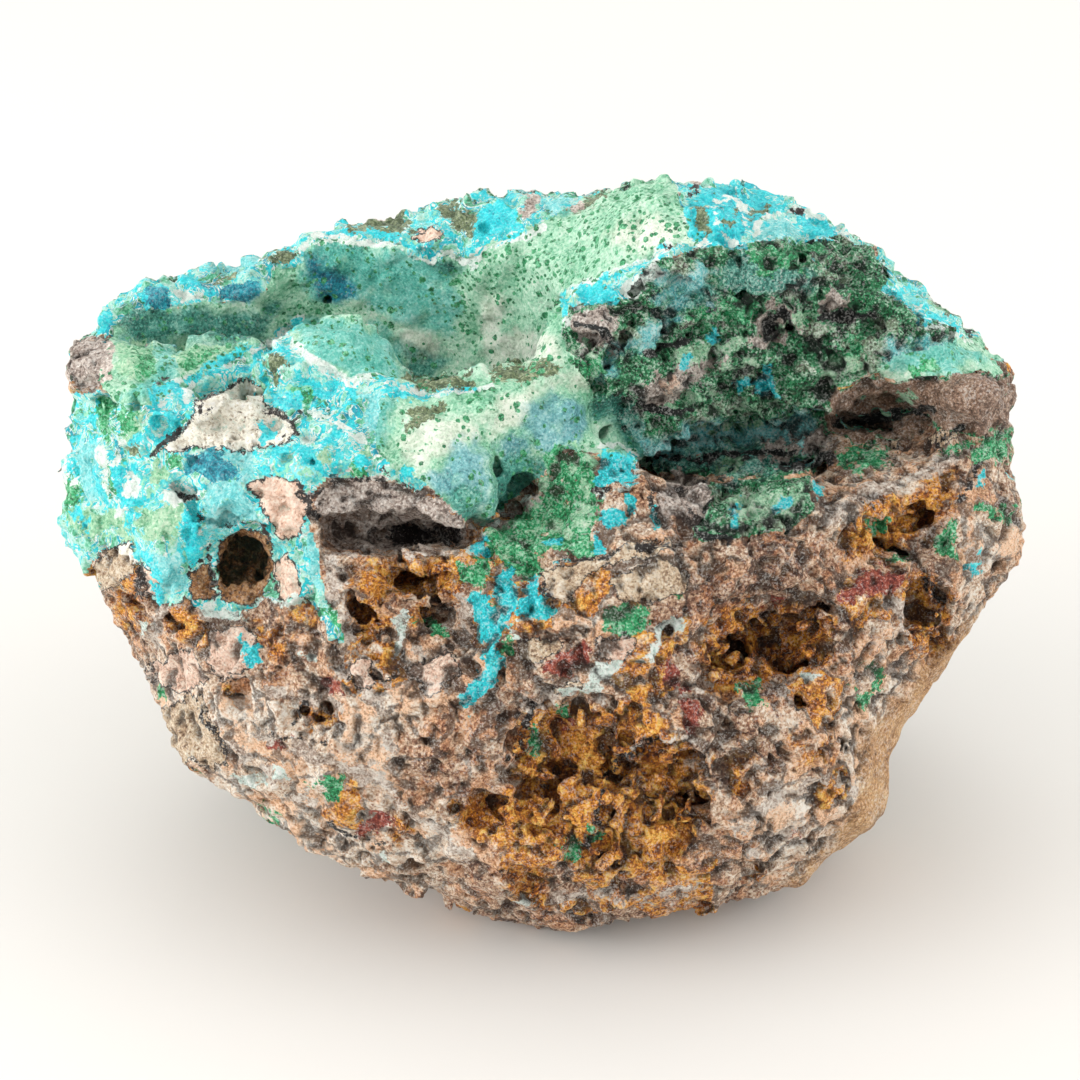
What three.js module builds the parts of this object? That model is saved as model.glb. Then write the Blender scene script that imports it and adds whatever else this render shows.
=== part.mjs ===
// A hand-sized mineral specimen: brown limonite matrix under a crust of chrysocolla, hemimorphite and malachite,
// with a vug open at its top left and a crevice across its front. All of it grew together, so it is one solid.
//
// The rock is a signed field in millimetres, negative inside: a squarish body, shaped by its outline, less the
// planes it broke along and its cavities, plus the lumps that grew in and over them. A surface net turns the
// field into one closed mesh. X is to the right, Y to the back and Z up, with the origin at the middle of the
// face that the rock rests on.
import * as THREE from 'three';

const CELL = 3.3; // step of the net, which sets the size of a facet
const MARGIN = 2 * CELL; // empty room that the net needs round the rock

// The body. OUTLINE is its widest section, [right, up] from CENTRE, in a plane that leans back by LEAN.
const CENTRE = new THREE.Vector3(-7.6, 0, 40);
const LEAN = THREE.MathUtils.degToRad(28);
const OUTLINE = [
  [-58, 22], [-52, 30], [-38, 35], [-24, 41], [-9, 44], [4, 43], [16, 45], [31, 42], [41, 35], [52, 26], [59, 19],
  [58, 12], [60, 5], [59, -3], [51, -15], [44, -26], [41, -36], [25, -45], [5, -49], [-14, -45], [-35, -37],
  [-47, -26], [-49, -16], [-56, -4], [-60, 4], [-58, 17],
];
const FRONT_DEPTH = 34;
const BACK_DEPTH = 48;
const SQUARENESS = 2.5; // 2 is an ellipsoid, and more is boxier

// Waves that stand for the unevenness of broken rock: [wavelength, height, phase].
const WAVES = [
  [31, 1.5, 0.4],
  [19, 1.0, 2.1],
  [12, 0.6, 4.0],
];

// Planes that the rock broke along. Each takes off what lies past `at` in the direction `out`.
const BREAKS = [
  { name: 'back', at: [8, 41, 44], out: [0.18, 1, 0.12], blend: 8 },
  { name: 'back_left', at: [-42, 30, 40], out: [-0.7, 0.75, -0.15], blend: 8 },
  { name: 'back_right', at: [36, 30, 46], out: [0.75, 0.7, 0.2], blend: 8 },
  { name: 'back_foot', at: [10, 32, 12], out: [0.25, 0.7, -0.65], blend: 8 },
  { name: 'back_top', at: [-16, 30, 79], out: [-0.15, 0.6, 0.8], blend: 8 },
  { name: 'left_foot', at: [-36, 0, 6], out: [-0.5, -0.1, -0.8], blend: 6 },
];

// Ellipsoids cut out of the rock. `turn` is about X, Y and Z, in degrees.
const CAVITIES = [
  { name: 'vug', at: [-31, 0, 67], radii: [27, 12.5, 19], turn: [0, 0, 0], blend: 3 },
  { name: 'vug_left', at: [-50, -3, 70], radii: [12, 8, 10], turn: [0, 0, 0], blend: 3 },
  { name: 'slit', at: [18, -5, 56], radii: [25, 9, 3], turn: [4, -9, 0], blend: 2 },
  { name: 'dark_cave', at: [-23, -31, 56], radii: [9, 9, 4.5], turn: [15, 4, 0], blend: 2 },
  { name: 'ochre_cave', at: [-22, -35, 47.5], radii: [8, 7, 5.5], turn: [0, 0, 0], blend: 2 },
  { name: 'square_hole', at: [-43, -27, 51], radii: [5.5, 6, 5.5], turn: [0, 0, 45], blend: 1.5 },
  { name: 'large_pit', at: [18, -34, 43], radii: [9, 7, 6], turn: [0, 0, 20], blend: 2 },
  { name: 'left_pit', at: [-5, -40, 32], radii: [7, 6, 6], turn: [0, 0, 0], blend: 2 },
  { name: 'lower_pit', at: [8, -41, 27], radii: [7, 6, 5], turn: [0, 0, 0], blend: 2 },
  { name: 'right_pit', at: [35, -25, 52], radii: [9, 6, 5], turn: [0, -10, 35], blend: 3 },
  { name: 'back_scoop', at: [-14, 56, 50], radii: [20, 17, 15], turn: [0, 0, 0], blend: 5 },
  { name: 'right_scoop', at: [66, 4, 30], radii: [17, 20, 15], turn: [0, 0, 0], blend: 5 },
  { name: 'left_scoop', at: [-68, 10, 36], radii: [14, 14, 16], turn: [0, 0, 0], blend: 5 },
];

// Ellipsoids grown onto the rock.
const LUMPS = [
  { name: 'vug_mound', at: [-31, -7, 60], radii: [8, 6, 13], turn: [0, 0, 0], blend: 3 },
  { name: 'vug_left_lobe', at: [-50, -2, 62], radii: [10, 6, 6], turn: [0, 0, 0], blend: 3 },
  { name: 'rim_peak', at: [-37, -9, 66], radii: [6, 5, 6], turn: [0, 0, 0], blend: 4 },
  { name: 'shelf_mound', at: [-19, -22, 57], radii: [7, 6, 6], turn: [0, 0, 0], blend: 2 },
  { name: 'shelf_lobe', at: [-6, -15, 58], radii: [6, 5, 8], turn: [0, 0, 0], blend: 2 },
  { name: 'ridge', at: [3, -22, 56], radii: [8, 3.5, 6], turn: [0, 0, 20], blend: 3 },
  { name: 'left_knob', at: [-59, -2, 64], radii: [6, 6, 5.5], turn: [0, 0, 0], blend: 3 },
];

// The crevice: a shelf under the right mass, open to the front. FACE is its back wall, as [x, y] seen from above.
const SHELF = { at: [12, -30, 56.5], rise: 0.1, dip: 0.08, blend: 4 };
const FACE = [[-26, -36], [-17, -24], [-8, -18], [0, -11], [12, -7], [32, -6], [40, -9], [50, -18], [62, -30]];
// The mouth of the vug: all that lies above its sloping rim and to the left of its right wall.
const RIM = { at: [-23.8, -15.6, 68], riseX: 0.115, riseY: 0.346 };
const WALL = { at: [-9, -2, 68], leanZ: 0.9, leanY: -0.4, blend: 5 };

const smoothMax = (a, b, k) => Math.max(a, b) + (Math.max(k - Math.abs(a - b), 0) ** 2) / (4 * k);
const smoothMin = (a, b, k) => -smoothMax(-a, -b, k);

// The outline's distance from its centre, at each of a full turn's directions.
function outlineRadii(steps) {
  const curve = new THREE.CatmullRomCurve3(
    OUTLINE.map(([right, up]) => new THREE.Vector3(right, up, 0)), true, 'centripetal');
  const places = curve.getPoints(steps * 4);
  const radii = new Array(steps).fill(0);
  places.forEach(({ x, y }) => {
    const slot = Math.floor((Math.atan2(y, x) / (2 * Math.PI) + 1) * steps) % steps;
    radii[slot] = Math.max(radii[slot], Math.hypot(x, y));
  });
  return radii;
}
const RADII = outlineRadii(120);

function outlineRadius(angle) {
  const turn = ((angle / (2 * Math.PI) + 1) % 1) * RADII.length - 0.5;
  const slot = Math.floor(turn);
  const at = (i) => RADII[(i + RADII.length) % RADII.length];
  return THREE.MathUtils.lerp(at(slot), at(slot + 1), turn - slot);
}

// Distance to the body along the line from its centre.
function body(p) {
  const [x, y, z] = [p.x - CENTRE.x, p.y - CENTRE.y, p.z - CENTRE.z];
  const back = y * Math.cos(LEAN) - z * Math.sin(LEAN);
  const up = y * Math.sin(LEAN) + z * Math.cos(LEAN);
  const across = Math.hypot(x, up) / outlineRadius(Math.atan2(up, x));
  const along = Math.abs(back) / (back < 0 ? FRONT_DEPTH : BACK_DEPTH);
  const size = (across ** SQUARENESS + along ** SQUARENESS) ** (1 / SQUARENESS);
  return Math.hypot(x, y, z) * (1 - 1 / Math.max(size, 1e-6));
}

function waves(p) {
  return WAVES.reduce((sum, [length, height, phase]) => {
    const k = (2 * Math.PI) / length;
    return sum + height * Math.sin(k * p.x + phase) * Math.sin(k * p.y + 2 * phase) * Math.sin(k * p.z + 3 * phase);
  }, 0);
}

// An ellipsoid's field, from its scaled lengths.
function ellipsoid({ at, radii, turn }) {
  const back = new THREE.Quaternion().setFromEuler(
    new THREE.Euler(...turn.map(THREE.MathUtils.degToRad))).invert();
  const centre = new THREE.Vector3(...at);
  const q = new THREE.Vector3();
  return (p) => {
    q.copy(p).sub(centre).applyQuaternion(back);
    const near = Math.hypot(q.x / radii[0], q.y / radii[1], q.z / radii[2]);
    const slope = Math.hypot(q.x / radii[0] ** 2, q.y / radii[1] ** 2, q.z / radii[2] ** 2);
    return near < 1e-6 ? -Math.min(...radii) : (near * (near - 1)) / slope;
  };
}

function plane({ at, out }) {
  const normal = new THREE.Vector3(...out).normalize();
  const offset = normal.dot(new THREE.Vector3(...at));
  return (p) => normal.dot(p) - offset;
}

// Straight lines from point to point, and level beyond the ends.
function along(points, x) {
  const next = points.findIndex(([at]) => at > x);
  if (next < 1) return points[next ? points.length - 1 : 0][1];
  const [[x0, y0], [x1, y1]] = [points[next - 1], points[next]];
  return THREE.MathUtils.mapLinear(x, x0, x1, y0, y1);
}

// Negative in the room over the shelf.
function overShelf({ x, y, z }) {
  const [atX, atY, atZ] = SHELF.at;
  const floor = atZ + SHELF.rise * (x - atX) - SHELF.dip * (y - atY);
  return smoothMax(floor - z, y - along(FACE, x), SHELF.blend);
}

// Negative in the room over the vug.
function overRim({ x, y, z }) {
  const rim = RIM.at[2] + RIM.riseX * (x - RIM.at[0]) + RIM.riseY * (y - RIM.at[1]);
  const wall = WALL.at[0] + WALL.leanY * (y - WALL.at[1]) + WALL.leanZ * (z - WALL.at[2]);
  return smoothMax(rim - z, x - wall, WALL.blend);
}

const rest = plane({ at: [0, 0, 0], out: [0, 0, -1] });
const breaks = BREAKS.map((b) => ({ ...b, field: plane(b) }));
const cavities = CAVITIES.map((c) => ({ ...c, field: ellipsoid(c) }));
const lumps = LUMPS.map((l) => ({ ...l, field: ellipsoid(l) }));

function rock(p) {
  let d = body(p);
  d = smoothMax(d, -overRim(p), WALL.blend);
  d = smoothMax(d, -overShelf(p), SHELF.blend);
  for (const b of breaks) d = smoothMax(d, b.field(p), b.blend);
  for (const c of cavities) d = smoothMax(d, -c.field(p), c.blend);
  for (const l of lumps) d = smoothMin(d, l.field(p), l.blend);
  return smoothMax(d + waves(p), rest(p), 1);
}

// A cell's corners, as steps along X, Y and Z, and its edges, as pairs of corners.
const CORNERS = [0, 1, 2, 3, 4, 5, 6, 7].map((c) => [c & 1, (c >> 1) & 1, c >> 2]);
const EDGES = CORNERS.flatMap((_, a) => [1, 2, 4].filter((bit) => !(a & bit)).map((bit) => [a, a | bit]));

// Whether the corners in a set hold together along the cell's edges.
function connected(set) {
  let reached = set & -set;
  for (let n = 0; n < 8; n++)
    for (const [a, b] of EDGES)
      if ((set >> a) & (set >> b) & 1 && (reached >> a | reached >> b) & 1) reached |= (1 << a) | (1 << b);
  return reached === set;
}

// Samples of a field over a box, with the numbering that the net uses.
class Grid {
  constructor(field, box, cell) {
    this.cell = cell;
    this.origin = box.min;
    this.size = box.getSize(new THREE.Vector3()).toArray().map((s) => Math.ceil(s / cell) + 1);
    this.values = new Float32Array(this.size[0] * this.size[1] * this.size[2]);
    this.points((i, j, k) => { this.values[this.at(i, j, k)] = field(this.place(i, j, k)); });
  }

  at(i, j, k) {
    return i + this.size[0] * (j + this.size[1] * k);
  }

  place(i, j, k) {
    return new THREE.Vector3(i, j, k).multiplyScalar(this.cell).add(this.origin);
  }

  // Calls `visit` with each point that is `low` steps in from the near side and `high` from the far side.
  points(visit, low = 0, high = 0) {
    const [nx, ny, nz] = this.size;
    for (let k = low; k < nz - high; k++)
      for (let j = low; j < ny - high; j++)
        for (let i = low; i < nx - high; i++) visit(i, j, k);
  }

  corners(i, j, k) {
    return CORNERS.map(([a, b, c]) => this.at(i + a, j + b, k + c));
  }

  // Fills in, point by point, wherever the rock would touch itself only along an edge or at a corner.
  fillPinches() {
    let pinched = true;
    const visit = (i, j, k) => {
      const corners = this.corners(i, j, k);
      const inside = corners.reduce((set, at, c) => set | (this.values[at] < 0) << c, 0);
      if (connected(inside) && connected(255 - inside)) return;
      const [nearest] = corners.filter((at) => this.values[at] >= 0).sort((a, b) => this.values[a] - this.values[b]);
      this.values[nearest] = -0.1 * this.cell;
      pinched = true;
    };
    while (pinched) {
      pinched = false;
      this.points(visit, 0, 1);
    }
  }
}

// A closed mesh of the zero surface: a vertex in each cell that it crosses, and a quad round each such edge.
function surfaceNet(grid) {
  const positions = [];
  const vertexOf = new Map();
  grid.points((i, j, k) => {
    const corners = grid.corners(i, j, k);
    const places = CORNERS.map(([a, b, c]) => grid.place(i + a, j + b, k + c));
    const crossings = EDGES.filter(([a, b]) => grid.values[corners[a]] < 0 !== grid.values[corners[b]] < 0);
    if (!crossings.length) return;
    const middle = new THREE.Vector3();
    for (const [a, b] of crossings) {
      const [start, end] = [grid.values[corners[a]], grid.values[corners[b]]];
      middle.add(places[a].clone().lerp(places[b], start / (start - end)));
    }
    vertexOf.set(corners[0], positions.length / 3);
    positions.push(...middle.divideScalar(crossings.length).toArray());
  }, 0, 1);

  const index = [];
  const axes = [[1, 0, 0], [0, 1, 0], [0, 0, 1]];
  grid.points((i, j, k) => axes.forEach(([di, dj, dk], axis) => {
    const inside = grid.values[grid.at(i, j, k)] < 0;
    if (inside === grid.values[grid.at(i + di, j + dj, k + dk)] < 0) return;
    const [u, v] = [axes[(axis + 1) % 3], axes[(axis + 2) % 3]];
    const quad = [[0, 0], [1, 0], [1, 1], [0, 1]].map(([a, b]) =>
      vertexOf.get(grid.at(i - a * u[0] - b * v[0], j - a * u[1] - b * v[1], k - a * u[2] - b * v[2])));
    pushQuad(index, positions, inside ? quad : quad.reverse());
  }), 1, 1);

  const geometry = new THREE.BufferGeometry();
  geometry.setAttribute('position', new THREE.Float32BufferAttribute(positions, 3));
  geometry.setIndex(index);
  geometry.computeVertexNormals();
  return geometry;
}

// Two triangles, cut along the quad's shorter diagonal.
function pushQuad(index, positions, [a, b, c, d]) {
  const corner = (n) => new THREE.Vector3(...positions.slice(3 * n, 3 * n + 3));
  if (corner(a).distanceTo(corner(c)) < corner(b).distanceTo(corner(d))) index.push(a, b, c, a, c, d);
  else index.push(a, b, d, b, c, d);
}

const reach = Math.max(...OUTLINE.map(([right, up]) => Math.hypot(right, up))) + MARGIN;
const box = new THREE.Box3(
  new THREE.Vector3(CENTRE.x - reach, CENTRE.y - reach, -MARGIN),
  new THREE.Vector3(CENTRE.x + reach, CENTRE.y + reach, CENTRE.z + reach));

const stone = new THREE.MeshStandardMaterial({ color: 0x8a7a62, roughness: 0.85, metalness: 0 });
const grid = new Grid(rock, box, CELL);
grid.fillPinches();
const specimen = new THREE.Mesh(surfaceNet(grid), stone);
specimen.name = 'specimen';

const group = new THREE.Group();
group.add(specimen);
export default group;
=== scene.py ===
"""Looks of a hemimorphite specimen with malachite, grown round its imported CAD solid.

The solid becomes a distance field, which is carved and built up with the specimen's pits, caves, clasts and
botryoids, and turned back into a fine mesh. The mesh is split where one mineral meets the next. What stands
at a place in the photograph is placed by its pixel, and sits where the ray through that pixel meets the rock.
Lengths are in millimetres until a mesh is handed to Blender, which has metres.
"""
import math

import bpy
import numpy as np
import openvdb as vdb
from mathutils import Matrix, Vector


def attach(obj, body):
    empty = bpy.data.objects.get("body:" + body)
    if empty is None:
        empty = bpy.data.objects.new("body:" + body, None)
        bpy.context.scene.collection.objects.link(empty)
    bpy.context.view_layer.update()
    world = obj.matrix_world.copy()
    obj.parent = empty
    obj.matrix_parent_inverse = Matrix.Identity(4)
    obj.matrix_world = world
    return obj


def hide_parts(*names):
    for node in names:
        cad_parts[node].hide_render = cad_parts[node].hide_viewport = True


MM = 0.001  # a millimetre in Blender's metres
VOXEL = 0.41  # step of the distance field
BAND = 10  # voxels of true distance on each side of the surface
SOFTEN = 1.0  # blur that takes the facets off the CAD solid
TRIM = 0.6  # taken off the solid all over before its texture is grown
SAMPLED = 60000  # points of the surface, among which the texture's places are drawn
SIDEWAYS = 0.45  # how far noise shifts the mesh's points, to break up round shapes
DIP_BLUR = 1.6  # blur of the distances that finds small dips
DEEP_BLUR = 3.4  # blur of the distances that finds deep hollows
CLAST_SIZE = 5.5  # width of the breccia's clasts
LUMP_SIZE = 2.4  # width of the small lumps on every mineral
LUMP_MARGIN = 2.5  # how far round a grown or carved lump its distances are needed
PERIOD = 32  # cells after which the random patterns repeat

# The photograph's camera.
PHOTO_SIZE = 1080  # pixels across and up
TILT = math.radians(28)  # how far it looks down
DISTANCE = 330.0  # from the eye to the target
SENSOR = 36  # width of the camera's sensor
PIXEL = 0.1263  # width of a pixel at the target
TARGET = np.array([-7.6, 0.0, 40.0])
FORWARD = np.array([0.0, math.cos(TILT), -math.sin(TILT)])
UPWARD = np.array([0.0, math.sin(TILT), math.cos(TILT)])
RIGHT = np.array([1.0, 0.0, 0.0])
EYE = TARGET - DISTANCE * FORWARD

rng = np.random.default_rng(11)


def to_pixels(points):
    """Where points show in the photograph."""
    offset = points - EYE
    scale = DISTANCE / PIXEL / (offset @ FORWARD)
    middle = PHOTO_SIZE / 2
    return np.stack([middle + scale * (offset @ RIGHT), middle - scale * (offset @ UPWARD)], axis=-1)


def rays(pixels):
    """Unit directions from the eye through pixels."""
    shift = (np.asarray(pixels, float) - PHOTO_SIZE / 2) * PIXEL
    aim = DISTANCE * FORWARD + shift[..., :1] * RIGHT - shift[..., 1:] * UPWARD
    return aim / np.linalg.norm(aim, axis=-1, keepdims=True)


def smooth_max(a, b, blend):
    """The greater value, rounded off where the two are nearly equal."""
    return np.maximum(a, b) + np.maximum(blend - np.abs(a - b), 0) ** 2 / (4 * blend)


def smooth_min(a, b, blend):
    """The lesser value, rounded off in the same way."""
    return -smooth_max(-a, -b, blend)


def unit(vectors):
    """Vectors brought to a length of one."""
    return vectors / np.maximum(np.linalg.norm(vectors, axis=-1, keepdims=True), 1e-9)


def blur(values, sigma):
    """A grid's values smoothed along each of its axes."""
    reach = int(math.ceil(2.5 * sigma))
    weights = np.exp(-0.5 * (np.arange(-reach, reach + 1) / sigma) ** 2)
    weights /= weights.sum()
    for axis in range(3):
        padded = np.pad(values, [(reach, reach) if a == axis else (0, 0) for a in range(3)], "edge")
        turned = np.moveaxis(padded, axis, 0)
        total = sum(np.float32(w) * turned[n:n + values.shape[axis]] for n, w in enumerate(weights))
        values = np.moveaxis(total, 0, axis)
    return values


class Noise:
    """Smooth random values in space, about -1 to 1, with bumps about `size` mm wide."""

    def __init__(self, size, seed):
        self.size = size
        self.lattice = np.random.default_rng(seed).uniform(-1, 1, (PERIOD,) * 3).astype(np.float32)

    def __call__(self, points):
        place = np.asarray(points, np.float32) / self.size
        cell = np.floor(place).astype(np.int32)
        part = place - cell
        part = part * part * (3 - 2 * part)
        total = np.zeros(len(place), np.float32)
        for corner in np.ndindex(2, 2, 2):
            i, j, k = ((cell + corner) % PERIOD).T
            weight = np.prod(np.where(corner, part, 1 - part), axis=-1)
            total += weight * self.lattice[i, j, k]
        return 1.6 * total  # which brings the spread back to about one


def layers(points, size, seed, count=3):
    """Noise in several sizes, each half as wide and half as high as the last."""
    heights = [0.5**n for n in range(count)]
    total = sum(h * Noise(size * h, seed + n)(points + 7.3 * n) for n, h in enumerate(heights))
    return total / sum(heights)


def drift(points, size, seed, count=2):
    """A smooth random shift of each point, up to about a millimetre each way."""
    return np.stack([layers(points, size, seed + 9 * axis, count) for axis in range(3)], axis=-1)


class Cells:
    """Space divided into cells about `size` mm wide, each round its own random point."""

    def __init__(self, size, seed):
        self.size = size
        self.seeds = np.random.default_rng(seed).random((PERIOD,) * 3 + (4,)).astype(np.float32)

    def __call__(self, points):
        """Each point's cell as a random value, 0 to 1, and its distance in mm to the cell's edge."""
        place = np.asarray(points, np.float32) / self.size
        cell = np.floor(place).astype(np.int32)
        first = np.full(len(place), 9, np.float32)
        second, value = first.copy(), np.zeros(len(place), np.float32)
        for step in np.ndindex(3, 3, 3):
            there = cell + step - 1
            i, j, k = (there % PERIOD).T
            seed = self.seeds[i, j, k]
            far = np.linalg.norm(there + seed[:, :3] - place, axis=1)
            nearer = far < first
            second = np.where(nearer, first, np.minimum(second, far))
            value = np.where(nearer, seed[:, 3], value)
            first = np.minimum(first, far)
        return value, (second - first) / 2 * self.size


def axes_along(out, up=(0.1, 0.3, 0.9)):
    """Three unit axes: across, then near to `up`, then along `out`."""
    side = unit(np.cross(up, out))
    return np.stack([side, np.cross(out, side), out])


class Rock:
    """The specimen as distances on a grid, negative inside."""

    def __init__(self, solid):
        mesh = solid.data
        mesh.calc_loop_triangles()
        corners = np.empty(3 * len(mesh.vertices), np.float32)
        mesh.vertices.foreach_get("co", corners)
        corners = corners.reshape(-1, 3) / MM
        triangles = np.empty(3 * len(mesh.loop_triangles), np.int32)
        mesh.loop_triangles.foreach_get("vertices", triangles)
        self.transform = vdb.createLinearTransform(voxelSize=VOXEL)
        level_set = vdb.FloatGrid.createLevelSetFromPolygons(
            corners, triangles=triangles.reshape(-1, 3).astype(np.uint32),
            transform=self.transform, halfWidth=BAND)
        pad = 2 * BAND
        self.low = np.floor(corners.min(0) / VOXEL).astype(int) - pad
        high = np.ceil(corners.max(0) / VOXEL).astype(int) + pad
        self.values = np.empty(tuple(high - self.low), np.float32)
        level_set.copyToArray(self.values, ijk=tuple(int(v) for v in self.low))
        self.values = blur(self.values, SOFTEN / VOXEL)

    def block(self, centre, reach):
        """The grid's window round a point, and the window's places from that point."""
        low = np.maximum(np.floor((centre - reach) / VOXEL).astype(int) - self.low, 0)
        high = np.minimum(np.ceil((centre + reach) / VOXEL).astype(int) - self.low + 1, self.values.shape)
        window = tuple(slice(a, b) for a, b in zip(low, np.maximum(high, low)))
        spans = zip(low, high, self.low, centre)
        return window, np.ix_(*[(np.arange(a, b) + start) * VOXEL - middle for a, b, start, middle in spans])

    def lump(self, centre, radii, axes, power):
        """An ellipsoid's distances in the window that it needs, boxier with a power over 2."""
        window, (x, y, z) = self.block(centre, max(radii) + LUMP_MARGIN)
        lengths = [np.abs(a * x + b * y + c * z) / radius for radius, (a, b, c) in zip(radii, axes)]
        size = sum(length**power for length in lengths) ** (1 / power)
        return window, (size - 1) * min(radii)

    def grow(self, centre, radii, axes, power, blend=0.6):
        """Adds a lump, rounded off where it meets the rock."""
        window, lump = self.lump(centre, radii, axes, power)
        self.values[window] = smooth_min(self.values[window], lump, blend)

    def carve(self, centre, radii, axes, power, blend=0.6):
        """Takes a lump away."""
        window, lump = self.lump(centre, radii, axes, power)
        self.values[window] = smooth_max(self.values[window], -lump, blend)

    def at(self, points):
        """Distances at points, from the nearest places of the grid."""
        index = np.rint(points / VOXEL).astype(int) - self.low
        inside = np.all((index >= 0) & (index < self.values.shape), axis=-1)
        i, j, k = np.clip(index, 0, np.array(self.values.shape) - 1).T
        return np.where(inside, self.values[i, j, k], BAND * VOXEL)

    def outward(self, points, step=0.9):
        """Unit directions out of the rock, from the distances `step` mm to each side."""
        slopes = [self.at(points + step * e) - self.at(points - step * e) for e in np.eye(3)]
        return unit(np.stack(slopes, axis=-1))

    def hit(self, pixels, before=110, steps=150):
        """Where the rays through pixels first meet the rock, from `before` mm this side of the target."""
        aims = rays(np.atleast_2d(pixels))
        places = EYE + aims * (DISTANCE - before)
        for _ in range(steps):
            places += aims * np.clip(0.7 * self.at(places), 0.02, 3)[:, None]
        return places

    def seen(self, points, normals, step=1.2, steps=40, most=5.0):
        """Whether each point faces the photograph's camera with at most `most` mm of rock before it."""
        towards = unit(EYE - points)
        facing = np.einsum("ij,ij->i", towards, normals)
        covered = np.zeros(len(points))
        places = points + step * normals
        for _ in range(steps):
            places = places + step * towards
            covered += step * (self.at(places) < -0.3)
        return (facing > -0.15 + 0.2 * layers(points, 3.0, 35)) & (covered <= most)

    def mesh(self):
        """The rock's surface as points, triangles and quads."""
        grid = vdb.FloatGrid(BAND * VOXEL)
        grid.transform = self.transform
        grid.copyFromArray(self.values, ijk=tuple(int(v) for v in self.low))
        points, triangles, quads = grid.convertToPolygons(isovalue=0.0, adaptivity=0.0)
        return points.astype(float), triangles.astype(np.int32), quads.astype(np.int32)


# Outlines in the photograph, in pixels. First come the borders that two zones share.
VUG_BACK = [(120, 325), (150, 315), (180, 308), (215, 305), (250, 308), (268, 290), (276, 270), (300, 268),
            (308, 250), (325, 240), (400, 243), (410, 258), (440, 266), (452, 252), (466, 262), (485, 248),
            (540, 224), (600, 190), (625, 176), (664, 174), (684, 200), (700, 240), (676, 244), (640, 255),
            (600, 283), (572, 296)]
VUG_FRONT = [(430, 482), (398, 470), (376, 440), (380, 402), (430, 398), (480, 392), (476, 384), (430, 386),
             (385, 381), (350, 384), (318, 362), (294, 342), (290, 322), (255, 345), (228, 360), (190, 380),
             (150, 402), (115, 402)]
DRUSE_TOP = [(570, 306), (600, 304), (630, 296), (650, 262), (690, 252), (720, 248), (760, 244), (840, 236),
             (868, 245)]

# A zone is where one mineral covers the rock.
ZONES = {
    "lining": [
        [(100, 380), (108, 345), *VUG_BACK, (562, 330), (576, 372), (604, 402), (642, 440), (652, 470),
         (600, 452), (560, 448), (530, 482), (484, 528), (455, 507), *VUG_FRONT],
        [(948, 336), (985, 336), (1004, 372), (960, 374), (905, 380), (872, 374), (900, 350)],
    ],
    "druse": [
        [(562, 332), *DRUSE_TOP, (882, 268), (886, 288), (905, 305), (930, 318), (952, 330), (950, 342),
         (900, 352), (872, 376), (838, 388), (832, 430), (816, 470), (780, 478), (700, 474), (652, 470),
         (642, 440), (604, 402), (576, 372)],
        [(700, 486), (740, 480), (806, 474), (812, 504), (776, 530), (730, 538), (690, 534), (700, 510)],
    ],
    "ledge": [
        [(832, 390), (872, 378), (905, 380), (960, 374), (1022, 376), (1022, 428), (990, 442), (965, 434),
         (930, 424), (900, 438), (850, 442), (830, 430)],
    ],
    "crust": [
        [(876, 228), (912, 256), (966, 296), (1034, 340), (1030, 366), (985, 336), (948, 336), (930, 318),
         (905, 305), (886, 288)],
        [(90, 250), (240, 220), (345, 180), (470, 166), (600, 150), (700, 150), (810, 170), (890, 226),
         *DRUSE_TOP[::-1], (562, 325), *VUG_BACK[::-1], (104, 334), (50, 340), (50, 290)],
        [*VUG_FRONT[::-1], (420, 492), (392, 476), (335, 474), (310, 492), (306, 520), (318, 552),
         (326, 600), (344, 640), (330, 640), (312, 604), (270, 596), (250, 610), (195, 606), (150, 600),
         (138, 564), (104, 540), (84, 572), (34, 560), (40, 450), (60, 396), (95, 392)],
    ],
    "ochre": [
        [(704, 640), (722, 616), (745, 604), (790, 612), (820, 604), (832, 626), (828, 664), (790, 678),
         (745, 694), (706, 692)],
        [(534, 705), (600, 700), (655, 706), (690, 745), (706, 800), (690, 850), (650, 876), (560, 858),
         (470, 836), (444, 806), (480, 798), (522, 790), (512, 740)],
        [(838, 532), (868, 520), (900, 502), (925, 478), (952, 468), (956, 500), (925, 528), (900, 546),
         (870, 558), (846, 552)],
        [(350, 562), (400, 556), (458, 552), (462, 600), (420, 594), (360, 596)],
        [(352, 600), (378, 600), (384, 632), (364, 644)],
        [(900, 582), (920, 574), (944, 596), (956, 640), (930, 664), (902, 642)],
        [(505, 868), (540, 864), (545, 905), (515, 900)],
        [(218, 545), (240, 530), (268, 536), (264, 600), (222, 598)],
        [(188, 572), (206, 568), (214, 594), (196, 600)],
        [(164, 616), (186, 600), (206, 620), (208, 642), (180, 640)],
        [(110, 600), (136, 596), (146, 618), (128, 630)],
        [(226, 688), (240, 688), (240, 702), (228, 704)],
        [(296, 706), (330, 708), (338, 722), (310, 724)],
        [(386, 816), (402, 814), (406, 834), (392, 838)],
        [(296, 602), (312, 600), (314, 620), (300, 622)],
        [(262, 632), (278, 628), (278, 654), (266, 654)],
        [(800, 744), (826, 742), (828, 760), (806, 762)],
        [(724, 760), (748, 750), (752, 790), (730, 800)],
        [(410, 605), (426, 608), (424, 622), (410, 620)],
    ],
}

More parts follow.
